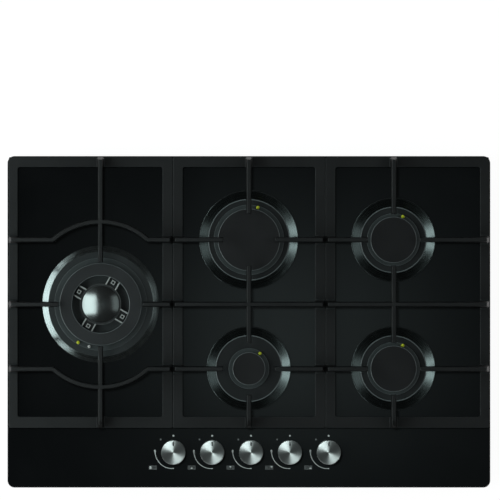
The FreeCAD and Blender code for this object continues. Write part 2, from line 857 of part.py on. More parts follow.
def body_holes(body, kind, level, depth):
    """The plug's and probe's holes through the skirt, and the screws' holes in the cup."""
    rounds = []
    for what in ("probe", "plug"):
        dx, dy = polar(kind, what)
        rounds.append((dx, dy, f"{what}_radius + plug_clear"))
    sketch = circles(sketch_on(body, "XY_Plane", body.Name + "_skirt_rounds", level), rounds)
    pocket(body, sketch, body.Name + "_skirt_holes", depth)
    feet = [("0", f"({side}) * ({kind}_cup - screw_inset)", "screw_hole") for side in (-1, 1)]
    sketch = sketch_on(body, "XY_Plane", body.Name + "_foot_rounds", "rail_top + cup_floor")
    pocket(body, circles(sketch, feet), body.Name + "_foot_holes", "cup_floor")
    sketch = sketch_on(body, "YZ_Plane", body.Name + "_window_outline")
    low = "rail_top + cup_floor + past"
    rectangle(sketch, "-window_wide / 2", "window_wide / 2", low, f"{low} + window_high")
    cutter = pocket(body, sketch, body.Name + "_window", f"{kind}_cup + past")
    item = body.newObject("PartDesign::PolarPattern", body.Name + "_windows")
    item.Originals = [cutter]
    item.Axis = (origin_item(body, "Z_Axis"), [""])
    item.Angle = 360
    item.Occurrences = 2
    body.Tip = item


def burner_body(name, kind):
    cup = f"{kind}_cup"
    bore = f"{kind}_cup - cup_wall"
    flange = f"{kind}_skirt + skirt_flange"
    body = turned(name, [
        ("rail_hole", "rail_top"), (cup, "rail_top"), (cup, "bowl_under - flange_thick"),
        (flange, "bowl_under - flange_thick"), (flange, "bowl_under"),
        (f"{kind}_skirt", "bowl_under"), (f"{kind}_skirt", "skirt_top"),
        (bore, "skirt_top"), (bore, "rail_top + cup_floor"), ("rail_hole", "rail_top + cup_floor")])
    round_edges(body, name + "_lip", ring_at("skirt_top", f"{kind}_skirt"), "lip_round")
    body_holes(body, kind, "skirt_top", "skirt_top - bowl_under + flange_thick")
    return body


def wok_body():
    body = turned("body_wok", [
        ("rail_hole", "rail_top"), ("wok_cup", "rail_top"), ("wok_cup", "glass_face"),
        ("wok_neck", "glass_face"), ("wok_neck", "wok_plate"), ("wok_skirt", "wok_plate"),
        ("wok_skirt", "wok_skirt_top"), ("wok_well", "wok_skirt_top"),
        ("wok_well", "glass_face + wok_well_floor"),
        ("wok_cup - cup_wall", "glass_face + wok_well_floor"),
        ("wok_cup - cup_wall", "rail_top + cup_floor"), ("rail_hole", "rail_top + cup_floor")])
    round_edges(body, "body_wok_lip", ring_at("wok_skirt_top", "wok_skirt"), "lip_round")
    body_holes(body, "wok", "wok_skirt_top", "skirt_rise")
    return body


def ports(body, name, low, high, reach, count):
    """Flame ports cut outwards through a crown's wall, all the way round."""
    sketch = sketch_on(body, "YZ_Plane", name + "_outline")
    rectangle(sketch, "-port_wide / 2", "port_wide / 2", low, high)
    cutter = pocket(body, sketch, name + "_port", reach)
    around(body, cutter, name + "_ports", count)


def crown(name, kind):
    wall = f"{kind}_crown - crown_wall"
    floor = "skirt_top + crown_base"
    venturi = f"{kind}_venturi"
    spigot = f"{kind}_cup - cup_wall - crown_clear"
    body = turned(name, [
        (venturi, "venturi_low"), (f"{venturi} + venturi_wall", "venturi_low"),
        (f"{venturi} + venturi_wall", "skirt_top - crown_spigot"),
        (spigot, "skirt_top - crown_spigot"), (spigot, "skirt_top"),
        (f"{kind}_crown", "skirt_top"), (f"{kind}_crown", "crown_top"),
        (wall, "crown_top"), (wall, floor), (venturi, floor)])
    top = "crown_top - crown_wall / 2"
    ports(body, name, f"{top} - port_high", top, f"{kind}_crown + past", f"{kind}_ports")
    dx, dy = polar(kind, "plug")
    sketch = sketch_on(body, "XY_Plane", name + "_notch_round", "crown_top")
    pocket(body, circles(sketch, [(dx, dy, "plug_notch")]), name + "_notch", "crown_high")
    return body


def flat_cap(name, kind):
    outer = f"{kind}_crown - crown_wall - crown_clear"
    inner = f"{outer} - crown_wall / 2"
    body = turned(name, [
        ("0", "crown_top"), (inner, "crown_top"), (inner, "crown_top - cap_spigot"),
        (outer, "crown_top - cap_spigot"), (outer, "crown_top"), (f"{kind}_cap", "crown_top"),
        (f"{kind}_cap", "cap_top"), ("0", "cap_top")])
    round_edges(body, name + "_edge", ring_at("cap_top", f"{kind}_cap"), "cap_round")
    return body


def wok_crown():
    """An outer channel ring and an inner crown, joined by four hollow bridges over the well."""
    floor = "wok_skirt_top + crown_base"
    outer = turned("outer_ring", [
        ("wok_well", "wok_skirt_top"), ("wok_crown", "wok_skirt_top"),
        ("wok_crown", "wok_crown_top"), ("wok_crown - crown_wall", "wok_crown_top"),
        ("wok_crown - crown_wall", floor), ("wok_well + crown_wall", floor),
        ("wok_well + crown_wall", "wok_crown_top"), ("wok_well", "wok_crown_top")])
    top = "wok_crown_top - crown_wall / 2"
    ports(outer, "outer_ring", f"{top} - port_high", top, "wok_crown + past", "wok_ports")
    venturi = "wok_venturi + venturi_wall"
    wall = "inner_crown - crown_wall"
    base = "inner_crown_under + crown_base"
    inner = turned("inner_ring", [
        ("wok_venturi", "venturi_low"), (venturi, "venturi_low"), (venturi, "inner_crown_under"),
        ("inner_crown", "inner_crown_under"), ("inner_crown", "inner_crown_top"),
        (wall, "inner_crown_top"), (wall, base), ("wok_venturi", base)])
    top = "inner_crown_top - port_wide"
    ports(inner, "inner_ring", f"{top} - port_high", top, "inner_crown + past", "inner_ports")
    near = "inner_crown - past"
    far = "wok_well + past"
    side = "(bridge_wide - bridge_wall) / 2"
    bars = []
    holes = []
    for index in range(4):
        turn = f"bridge_turn + {90 * index}"
        angle = number(turn)
        high = "wok_skirt_top + bridge_high"
        bars.append(beam(f"span_{index}", angle, near, far, "wok_skirt_top",
                         "wok_skirt_top + bridge_wall", "bridge_wide"))
        for way in (-1, 1):
            bars.append(beam(
                f"span_wall_{index}_{way + 1}", angle, near, far, "wok_skirt_top", high,
                "bridge_wall", x=f"({-way}) * {side} * sin({turn})",
                y=f"({way}) * {side} * cos({turn})"))
        middle = "(inner_crown + wok_well) / 2"
        bars.append(beam(f"span_boss_{index}", angle, f"{middle} - bridge_boss / 2",
                         f"{middle} + bridge_boss / 2", "wok_skirt_top", high, "bridge_boss"))
        holes.append(cylinder(f"span_hole_{index}", "bridge_hole", f"{high} - bridge_boss",
                              f"{high} + past",
                              f"({middle}) * cos({turn})", f"({middle}) * sin({turn})"))
    whole = fuse("crown_wok_whole", [outer, inner] + bars)
    return cut("crown_wok", whole, group("span_holes", holes))


def ring_cap():
    inner = "wok_well + crown_wall + crown_clear"
    outer = "wok_crown - crown_wall - crown_clear"
    top = "wok_crown_top + ring_cap_thick"
    body = turned("cap_wok_ring", [
        ("wok_cap_bore", "wok_crown_top"), (inner, "wok_crown_top"),
        (inner, "wok_crown_top - cap_spigot"), (outer, "wok_crown_top - cap_spigot"),
        (outer, "wok_crown_top"), ("wok_cap", "wok_crown_top"), ("wok_cap", top),
        ("wok_cap_bore", top)])
    round_edges(body, "cap_wok_ring_edge", ring_at(top, "wok_cap"), "cap_round")
    round_edges(body, "cap_wok_ring_bore", ring_at(top, "wok_cap_bore"), "cap_round / 2")
    return body


def dome_cap():
    """A shallow polished dome on the inner crown, located by a ring under it."""
    body = new_body("cap_wok_dome")
    sketch = sketch_on(body, "XZ_Plane", "dome_outline")
    outer = "inner_crown - crown_wall - crown_clear"
    rim_level = "inner_crown_top + dome_edge"
    points = [
        ("0", f"{rim_level} + dome_rise"), ("0", "inner_crown_top"),
        (f"{outer} - 2", "inner_crown_top"), (f"{outer} - 2", "inner_crown_top - cap_spigot"),
        (outer, "inner_crown_top - cap_spigot"), (outer, "inner_crown_top"),
        ("dome_cap", "inner_crown_top"), ("dome_cap", rim_level)]
    places = [V(number(u), number(v), 0) for u, v in points]
    sketch.addGeometry([Part.LineSegment(a, b) for a, b in zip(places, places[1:])], False)
    radius = "(dome_cap * dome_cap + dome_rise * dome_rise) / (2 * dome_rise)"
    centre = V(0, number(f"{rim_level} + dome_rise - {radius}"), 0)
    half = (places[0] - centre).getAngle(places[-1] - centre)
    dome = Part.ArcOfCircle(Part.Circle(centre, V(0, 0, 1), number(radius)),
                            math.pi / 2 - half, math.pi / 2)
    arc = sketch.addGeometry(dome, False)
    last = len(points) - 2
    joins = [Sketcher.Constraint("Coincident", i, 2, i + 1, 1) for i in range(last)]
    joins.append(Sketcher.Constraint("Coincident", last, 2, arc, 1))
    joins.append(Sketcher.Constraint("Coincident", arc, 2, 0, 1))
    joins.append(Sketcher.Constraint("PointOnObject", arc, 3, -2))
    sketch.addConstraint(joins)
    for index, (u, v) in enumerate(points[:-1]):
        tie(sketch, "DistanceX", index, 1, u, places[index].x)
        tie(sketch, "DistanceY", index, 1, v, places[index].y)
    tie(sketch, "DistanceX", last, 2, points[-1][0], places[-1].x)
    tie(sketch, "DistanceY", last, 2, points[-1][1], places[-1].y)
    item = body.newObject("PartDesign::Revolution", "dome_turn")
    item.Profile = sketch
    item.ReferenceAxis = (sketch, ["V_Axis"])
    item.Angle = 360
    return body


def burners():
    node(wok_bowl(), "bowl_wok", "wok_x", "middle_row")
    node(bowl("bowl_rapid", "rapid"), "bowl_rapid", "mid_x", "rear_row")
    pair = [place(bowl(f"bowl_semi_{y}", "semi"), "semi_x", y) for y in ("rear_row", "front_row")]
    node(group("bowls_semi", pair), "bowls_semi")
    node(bowl("bowl_aux", "aux"), "bowl_aux", "mid_x", "front_row")
    node(wok_body(), "body_wok", "wok_x", "middle_row")
    node(burner_body("body_rapid", "rapid"), "body_rapid", "mid_x", "rear_row")
    pair = [place(burner_body(f"body_semi_{y}", "semi"), "semi_x", y)
            for y in ("rear_row", "front_row")]
    node(group("bodies_semi", pair), "bodies_semi")
    node(burner_body("body_aux", "aux"), "body_aux", "mid_x", "front_row")
    node(wok_crown(), "crown_wok", "wok_x", "middle_row")
    node(ring_cap(), "cap_wok_ring", "wok_x", "middle_row")
    node(dome_cap(), "cap_wok_dome", "wok_x", "middle_row")
    for name, kind, x, y in burner_places():
        if kind != "wok":
            node(crown(f"crown_{name}", kind), f"crown_{name}", x, y)
            node(flat_cap(f"cap_{name}", kind), f"cap_{name}", x, y)


def plugs_and_probes():
    plugs = []
    probes = []
    for name, kind, x, y in burner_places():
        top = "wok_skirt_top" if kind == "wok" else "skirt_top"
        dx, dy = polar(kind, "plug")
        plug = turned(f"plug_{name}", [
            ("0", "plug_low"), ("plug_radius", "plug_low"), ("plug_radius", "bowl_under - collar_drop"),
            ("plug_collar", "bowl_under - collar_drop"), ("plug_collar", "bowl_under - flange_thick"),
            ("plug_radius", "bowl_under - flange_thick"), ("plug_radius", f"{top} + ceramic_rise"),
            ("electrode_radius", f"{top} + ceramic_rise"),
            ("electrode_radius", f"{top} + electrode_rise"), ("0", f"{top} + electrode_rise")])
        plugs.append(place(plug, f"{x} + {dx}", f"{y} + {dy}"))
        dx, dy = polar(kind, "probe")
        probe = turned(f"probe_{name}", [
            ("0", "plug_low"), ("probe_radius", "plug_low"),
            ("probe_radius", f"{top} + probe_high - probe_tip"),
            ("probe_radius - probe_taper", f"{top} + probe_high"), ("0", f"{top} + probe_high")])
        probes.append(place(probe, f"{x} + {dx}", f"{y} + {dy}"))
    node(group("spark_plugs", plugs), "spark_plugs")
    node(group("thermocouples", probes), "thermocouples")


# Pan supports.

def finger(name, x, y, turn, tip, edge):
    """A finger from its tip, over the frame at its outer edge, and the post under its root."""
    return beam(name, turn, tip, edge, "finger_under", "finger_top", "finger_foot", "finger_wide",
                "finger_tip_slope", "post_slope", x, y)


def post(name, x, y, turn, inner, outer):
    """The block under a finger's root: as deep as the frame, narrowed towards the top."""
    return beam(name, turn, inner, outer, "frame_top - post_sink", "finger_top", "post_wide",
                "finger_wide", "0", "post_slope", x, y)


def frame(name, left, right, frame_left, frame_right):
    """The flat ring of a pan support, with a hole under it for each foot's peg."""
    body = new_body(name)
    sketch = sketch_on(body, "XY_Plane", name + "_outline", "frame_under")
    rectangle(sketch, left, right, "grate_front", "grate_back")
    pad(body, sketch, name + "_plate", "frame_high")
    round_edges(body, name + "_corners", upright, "frame_outer_corner")
    sketch = sketch_on(body, "XY_Plane", name + "_inside", "frame_top")
    in_left = f"{left} + {frame_left}"
    in_right = f"{right} - {frame_right}"
    in_front = "grate_front + frame_front"
    in_back = "grate_back - frame_back"
    rectangle(sketch, in_left, in_right, in_front, in_back)
    pocket(body, sketch, name + "_opening", "frame_high")

    def inner_corner(edge):
        if not upright(edge):
            return False
        point = edge.Vertexes[0].Point
        across = min(abs(point.x - number(in_left)), abs(point.x - number(in_right)))
        along = min(abs(point.y - number(in_front)), abs(point.y - number(in_back)))
        return across < 1e-4 and along < 1e-4

    round_edges(body, name + "_inner_corners", inner_corner, "frame_corner")
    pegs = [(x, y, "foot_peg + foot_fit") for x, y in foot_places(left, right, frame_left,
                                                                  frame_right)]
    sketch = sketch_on(body, "XY_Plane", name + "_peg_rounds", "frame_under")
    circles(sketch, pegs)
    pocket(body, sketch, name + "_peg_holes", "foot_peg_high + foot_fit", reverse=True)
    return body


def foot_places(left, right, frame_left, frame_right):
    rows = ("grate_front + frame_front / 2", "middle_row + row_step / 2",
            "grate_back - frame_back / 2")
    columns = (f"{left} + {frame_left} / 2", f"{right} - {frame_right} / 2")
    return [(x, y) for x in columns for y in rows]


def feet(name, places):
    made = []
    for index, (x, y) in enumerate(places):
        body = turned(f"{name}_{index}", [
            ("0", "glass_face"), ("foot_radius", "glass_face"), ("foot_radius", "frame_under"),
            ("foot_peg", "frame_under"), ("foot_peg", "frame_under + foot_peg_high"),
            ("0", "frame_under + foot_peg_high")])
        made.append(place(body, x, y))
    node(group(name, made), name)


def straight_grate(name, x, left, right, frame_left, frame_right):
    """A pan support over a rear and a front burner on one column."""
    bars = []
    reach_back = "grate_back - rear_row"
    reach_front = "front_row - grate_front"
    reach_left = f"{x} - ({left})"
    reach_right = f"{right} - ({x})"
    rows = (("rear", "rear_row"), ("front", "front_row"))
    bars.append(finger(name + "_back", x, "rear_row", 90, "finger_tip", reach_back))
    bars.append(post(name + "_back_post", x, "rear_row", 90, f"{reach_back} - frame_back",
                     reach_back))
    bars.append(finger(name + "_fore", x, "front_row", 270, "finger_tip", reach_front))
    bars.append(post(name + "_fore_post", x, "front_row", 270, f"{reach_front} - frame_front",
                     reach_front))
    for row, y in rows:
        bars.append(finger(f"{name}_{row}_left", x, y, 180, "finger_tip", reach_left))
        bars.append(finger(f"{name}_{row}_right", x, y, 0, "finger_tip", reach_right))
    for row, y in rows + (("middle", "middle_row"),):
        bars.append(post(f"{name}_{row}_left_post", x, y, 180, f"{reach_left} - {frame_left}",
                         reach_left))
        bars.append(post(f"{name}_{row}_right_post", x, y, 0, f"{reach_right} - {frame_right}",
                         reach_right))
    bars.append(beam(f"{name}_across", 0, f"-({reach_left})", reach_right, "finger_under",
                     "finger_top", "finger_foot", "finger_wide", "post_slope", "post_slope",
                     x, "middle_row"))
    bars.append(beam(f"{name}_between", 90, "finger_tip - row_step", "row_step - finger_tip",
                     "finger_under", "finger_top", "finger_foot", "finger_wide", "0.8", "0.8",
                     x, "middle_row"))
    ring = frame(name + "_frame", left, right, frame_left, frame_right)
    node(fuse(name, [ring] + bars), name)
    feet(name.replace("grate", "feet"), foot_places(left, right, frame_left, frame_right))


def arc_bar(name, side):
    """The curved length of a bar that bulges away from the wok burner; side is 1 at the back."""
    half_foot = "finger_foot / 2"
    half_top = "finger_wide / 2"
    span = 2 * math.degrees(math.asin(number("arc_half / arc_radius")))
    rounds = []
    for what, way in (("outer", "+"), ("inner", "-")):
        cone = doc.addObject("Part::Cone", f"{name}_{what}")
        cone.Placement = FreeCAD.Placement(
            V(), FreeCAD.Rotation(V(0, 0, 1), 90 * side - span / 2))
        bind(cone, Radius1=f"arc_radius {way} {half_foot}", Radius2=f"arc_radius {way} {half_top}",
             Height="finger_high", Angle="2 * asin(arc_half / arc_radius)")
        rounds.append(place(cone, "wok_x",
                            f"middle_row + ({side}) * (row_step + arc_bulge - arc_radius)",
                            "finger_under"))
    return cut(name, rounds[0], rounds[1])


def wok_grate():
    """The pan support over the wok burner: two long bars are bent round the flames."""
    name = "grate_left"
    left = "-grate_outer"
    right = "-grate_half - grate_gap"
    reach_left = "wok_x + grate_outer"
    reach_right = "-grate_half - grate_gap - wok_x"
    reach_back = "grate_back - middle_row"
    reach_front = "middle_row - grate_front"
    bars = [
        finger("wok_back", "wok_x", "middle_row", 90, "wok_tip", reach_back),
        finger("wok_fore", "wok_x", "middle_row", 270, "wok_tip", reach_front),
        finger("wok_left", "wok_x", "middle_row", 180, "wok_tip", reach_left),
        finger("wok_right", "wok_x", "middle_row", 0, "wok_tip", reach_right),
        post("wok_back_post", "wok_x", "middle_row", 90, f"{reach_back} - frame_back", reach_back),
        post("wok_fore_post", "wok_x", "middle_row", 270, f"{reach_front} - frame_front",
             reach_front),
    ]
    rows = (("rear", "rear_row", 1), ("front", "front_row", -1))
    for row, y, side in rows:
        bars.append(finger(f"wok_{row}_left", "wok_x", y, 180, "arc_half - past", reach_left))
        bars.append(finger(f"wok_{row}_right", "wok_x", y, 0, "arc_half - past", reach_right))
        bars.append(arc_bar(f"wok_{row}_arc", side))
    for row, y in (("rear", "rear_row"), ("middle", "middle_row"), ("front", "front_row")):
        bars.append(post(f"wok_{row}_left_post", "wok_x", y, 180, f"{reach_left} - frame_side",
                         reach_left))
        bars.append(post(f"wok_{row}_right_post", "wok_x", y, 0, f"{reach_right} - frame_joint",
                         reach_right))
    ring = frame("wok_frame", left, right, "frame_side", "frame_joint")
    node(fuse(name, [ring] + bars), name)
    feet("feet_left", foot_places(left, right, "frame_side", "frame_joint"))


def grates():
    wok_grate()
    straight_grate("grate_centre", "mid_x", "-grate_half", "grate_half",
                   "frame_joint", "frame_joint")
    straight_grate("grate_right", "semi_x", "grate_half + grate_gap", "grate_outer",
                   "frame_joint", "frame_side")


# Knobs, stems, valves and springs.

def dee(name, radius, flat, low, high):
    """A round bar with one flat, on the side of +X."""
    bar = cylinder(name + "_bar", radius, low, high)
    keep = box(name + "_keep", f"-({radius}) - past", flat, f"-({radius}) - past", f"({radius}) + past",
               low, high)
    return common(name, bar, keep)


def knob(name):
    roof = "knob_top - knob_roof"
    inner = "knob_radius - knob_wall"
    shell = turned(name + "_shell", [
        ("0", "knob_low + knob_boss_up"), ("knob_boss", "knob_low + knob_boss_up"),
        ("knob_boss", roof), (inner, roof), (inner, "knob_low"), ("knob_radius", "knob_low"),
        ("knob_radius", "knob_top - knob_chamfer"), ("knob_radius - knob_chamfer", "knob_top"),
        ("0", "knob_top")])
    socket = dee(name + "_socket", "stem_radius + stem_fit", "stem_flat + stem_fit",
                 "knob_low", "knob_top - stem_end")
    marker = beam(name + "_marker", 90, "marker_near", "marker_far", "knob_top - marker_deep",
                  "knob_top + past", "marker_wide")
    return cut(name, shell, group(name + "_cuts", [socket, marker]))


def stem(name):
    top = dee(name + "_top", "stem_radius", "stem_flat", "knob_low", "stem_top")
    bar = cylinder(name + "_bar", "stem_radius", "blade_high", "knob_low")
    collar = cylinder(name + "_collar", "stem_collar", "collar_top - collar_thick", "collar_top")
    blade = box(name + "_blade", "-blade_thick / 2", "blade_thick / 2", "-blade_wide / 2",
                "blade_wide / 2", "blade_low", "blade_high + past")
    return fuse(name, [top, bar, collar, blade])


def valve_plug(name):
    """The turning plug: a slot for the stem's blade, and a port across it that opens by turning."""
    bar = cylinder(name + "_bar", "plug_body", "plug_under", "plug_top")
    slot = box(name + "_slot", "-blade_thick / 2 - stem_fit", "blade_thick / 2 + stem_fit",
               "-plug_body", "plug_body", "blade_low - push - slot_spare", "plug_top")
    port = cross_cylinder(name + "_port", "plug_port", 0, "-plug_body - past", "plug_body + past",
                          "gas_level")
    return cut(name, bar, group(name + "_cuts", [slot, port]))


def spring(name):
    body = new_body(name)
    sketch = sketch_on(body, "XZ_Plane", name + "_wire")
    circles(sketch, [("spring_radius", "spring_low", "spring_wire")])
    item = body.newObject("PartDesign::AdditiveHelix", name + "_coil")
    item.Profile = sketch
    item.ReferenceAxis = (sketch, ["V_Axis"])
    item.Mode = 0
    bind(item, Height="spring_high - spring_low",
         Pitch="(spring_high - spring_low) / spring_turns")
    return body


def valve_body(name):
    shell = turned(name + "_shell", [
        ("0", "tray_floor"), ("valve_radius", "tray_floor"), ("valve_radius", "valve_top"),
        ("stem_radius + stem_fit", "valve_top"), ("stem_radius + stem_fit", "collar_top"),
        ("chamber_radius", "collar_top"), ("chamber_radius", "chamber_low"),
        ("plug_body + stem_fit", "chamber_low"), ("plug_body + stem_fit", "plug_under - plug_play"),
        ("0", "plug_under - plug_play")])
    inside = "valve_radius - boss_sink"
    back = cross_cylinder(name + "_outlet", "port_boss", 90, inside, "port_reach", "gas_level")
    front = cross_cylinder(name + "_supply", "port_boss", 270, inside, "rail_behind", "gas_level")
    rail_cut = cross_cylinder(name + "_saddle", "rail_radius + stem_fit", 0, "-port_boss - saddle_past",
                              "port_boss + saddle_past", "gas_level", "0", "-rail_behind")
    way = cross_cylinder(name + "_way", "plug_port", 90, "-rail_behind", "port_reach + past",
                         "gas_level")
    seat = cross_cylinder(name + "_seat", "pipe_radius + stem_fit", 90, "port_reach - pipe_sink",
                          "port_reach + past", "gas_level")
    solid = fuse(name + "_bosses", [shell, back, front])
    return cut(name, solid, group(name + "_cuts", [rail_cut, way, seat]))


def grommet(name):
    inner = "stem_radius + grommet_clear"
    neck = "grommet_hole - foot_fit"
    top = "glass_face + grommet_thick"
    return turned(name, [
        (inner, "glass_under"), (neck, "glass_under"), (neck, "glass_face"),
        ("grommet_flange", "glass_face"), ("grommet_flange", top), (inner, top)])


def controls():
    valves = []
    grommets = []
    for index, burner in enumerate(KNOBS):
        x = knob_x(index)
        node(knob(f"knob_{burner}"), f"knob_{burner}", x, "knob_y")
        node(stem(f"stem_{burner}"), f"stem_{burner}", x, "knob_y")
        node(valve_plug(f"valve_plug_{burner}"), f"valve_plug_{burner}", x, "knob_y")
        node(spring(f"spring_{burner}"), f"spring_{burner}", x, "knob_y")
        valves.append(place(valve_body(f"valve_{burner}"), x, "knob_y"))
        grommets.append(place(grommet(f"grommet_{burner}"), x, "knob_y"))
    node(group("valve_bodies", valves), "valve_bodies")
    node(group("knob_grommets", grommets), "knob_grommets")


# Gas supply, ignition and the cable's inlet.

def gas_rail():
    start = f"{knob_x(0)} - rail_start"
    route = [(start, "gas_rail_y", "gas_level"), ("inlet_x", "gas_rail_y", "gas_level"),
             ("inlet_x", "inlet_rise_front", "gas_level"),
             ("inlet_x", "inlet_rise_back", "inlet_level"),
             ("inlet_x", "inlet_y - inlet_block + pipe_sink", "inlet_level")]
    pipe = tube("rail_pipe", route, "rail_radius", "rail_bore", "rail_bend")
    end = cross_cylinder("rail_end", "rail_bore", 0, "0", "pipe_sink", "gas_level",
                         start, "gas_rail_y")
    holes = []
    for index in range(len(KNOBS)):
        holes.append(cross_cylinder(f"rail_port_{index}", "plug_port", 90, "rail_bore / 2",
                                    "rail_radius + past", "gas_level", knob_x(index), "gas_rail_y"))
    node(cut("gas_rail", fuse("rail_whole", [pipe, end]), group("rail_ports", holes)), "gas_rail")


def inlet_elbow():
    block = box("elbow_block", "inlet_x - inlet_block", "inlet_x + inlet_block",
                "inlet_y - inlet_block", "inlet_y + inlet_block",
                "notch_roof", "notch_roof + inlet_block_high")
    shoulder = "notch_roof - tray_sheet - inlet_shoulder"
    thread = cylinder("elbow_thread", "inlet_thread", "notch_roof - inlet_long", shoulder,
                      "inlet_x", "inlet_y")
    neck = cylinder("elbow_neck", "inlet_neck", f"{shoulder} - past", "notch_roof + past",
                    "inlet_x", "inlet_y")
    bore = cylinder("elbow_bore", "inlet_bore", "notch_roof - inlet_long - past", "inlet_level",
                    "inlet_x", "inlet_y")
    side = cross_cylinder("elbow_side", "rail_radius + stem_fit", 270,
                          "inlet_block - pipe_sink", "inlet_block + past", "inlet_level",
                          "inlet_x", "inlet_y")
    way = cross_cylinder("elbow_way", "rail_bore", 270, "0", "inlet_block + past", "inlet_level",
                         "inlet_x", "inlet_y")
    solid = fuse("elbow_solid", [block, neck, thread])
    node(cut("inlet_elbow", solid, group("elbow_cuts", [bore, side, way])), "inlet_elbow")


def gas_pipes():
    """One pipe from each valve to the jet holder under its burner."""
    start = "knob_y + port_reach - pipe_sink"
    end = "holder_radius - pipe_sink / 2"
    routes = {
        "wok": [(knob_x(0), "middle_row"), (f"wok_x + {end}", "middle_row")],
        "aux": [(knob_x(1), "front_row"), (f"mid_x - ({end})", "front_row")],
        "rapid": [(knob_x(2), "rapid_pipe_front"), ("rapid_pipe_x", "rapid_pipe_back"),
                  ("rapid_pipe_x", "rear_row"), (f"mid_x + {end}", "rear_row")],
        "semi_rear": [(knob_x(3), "rear_row"), (f"semi_x - ({end})", "rear_row")],
        "semi_front": [(knob_x(4), "front_row"), (f"semi_x - ({end})", "front_row")],
    }
    made = []
    for index, burner in enumerate(KNOBS):
        points = [(knob_x(index), start, "gas_level")]
        points += [(x, y, "gas_level") for x, y in routes[burner]]
        made.append(tube(f"pipe_{burner}", points, "pipe_radius", "pipe_radius - pipe_wall",
                         "pipe_bend"))
    node(group("gas_pipes", made), "gas_pipes")


def injectors():
    sides = {"wok": 0, "aux": 180, "rapid": 0, "semi_rear": 180, "semi_front": 180}
    made = []
    under = "rail_top - rail_sheet"
    for burner, kind, x, y in burner_places():
        name = f"injector_{burner}"
        tip = "rail_top + jet_high"
        shell = turned(name + "_shell", [
            ("0", f"{under} - holder_high"), ("holder_radius", f"{under} - holder_high"),
            ("holder_radius", under), ("jet_neck", under), ("jet_neck", f"{tip} - jet_cone"),
            ("jet_tip", tip), ("0", tip)])
        way = cylinder(name + "_way", "jet_bore", "gas_level", f"{tip} + past")
        side = cross_cylinder(name + "_side", "pipe_radius + stem_fit", sides[burner],
                              "holder_radius - pipe_sink / 2", "holder_radius + past", "gas_level")
        feed = cross_cylinder(name + "_feed", "plug_port", sides[burner], "0", "holder_radius",
                              "gas_level")
        made.append(place(cut(name, shell, group(name + "_cuts", [way, side, feed])), x, y))
    node(group("injectors", made), "injectors")


def ignition_unit():
    case = box("ignition_case", "-ignition_long / 2", "ignition_long / 2", "-ignition_deep / 2",
               "ignition_deep / 2", "tray_floor", "tray_floor + ignition_high")
    step = "ignition_long / 6"
    top = "tray_floor + ignition_high"
    sockets = [cylinder(f"socket_{index}", "socket_radius", f"{top} - past", f"{top} + socket_high",
                        f"({index - 2}) * {step}") for index in range(len(KNOBS))]
    node(fuse("ignition_unit", [case] + sockets), "ignition_unit", "ignition_x", "ignition_y")


def cable_gland():
    """The grommet that the supply cable passes through, in the notch's roof."""
    under = "notch_roof - tray_sheet"
    body = turned("cable_gland", [
        ("gland_bore", f"{under} - gland_thick"), ("gland_flange", f"{under} - gland_thick"),
        ("gland_flange", under), ("gland_neck", under), ("gland_neck", "notch_roof"),
        ("gland_flange", "notch_roof"), ("gland_flange", "notch_roof + gland_thick"),
        ("gland_bore", "notch_roof + gland_thick")])
    node(body, "cable_gland", "gland_x", "inlet_y")


glass_top()
worktop_seal()
tray()
burner_rails()
screws()
burners()
plugs_and_probes()
grates()
controls()
gas_rail()
inlet_elbow()
gas_pipes()
injectors()
ignition_unit()
cable_gland()

doc.recompute()
for item in doc.Objects:
    if "Invalid" in item.State or "Error" in item.State:
        raise RuntimeError(f"{item.Name} ({item.Label}) failed: {item.State}")
for item in nodes:
    if item.Shape.isNull() or not item.Shape.isValid():
        raise RuntimeError(f"{item.Label} has no valid shape")

os.makedirs("parts", exist_ok=True)
for item in nodes:
    item.Shape.exportStep(f"parts/{item.Label}.step")
    extent = item.Shape.BoundBox
    print(f"{item.Label:22s} solids {len(item.Shape.Solids):2d}  volume {item.Shape.Volume:10.0f}  "
          f"z {extent.ZMin:7.2f} to {extent.ZMax:6.2f}")
print("nodes:", len(nodes))
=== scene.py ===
# %% [markdown]
# # A gas cooktop, finished for the studio
# The cooktop is a black glass plate with five burners, three cast-iron pan supports and five
# spun metal knobs.  Its shape comes from the CAD model, which loads first as a fixed frame in
# metres.  Everything made here is added on that frame: rounder turned parts, softer castings,
# the printing on the glass, and a finish for every surface.

import json
import math

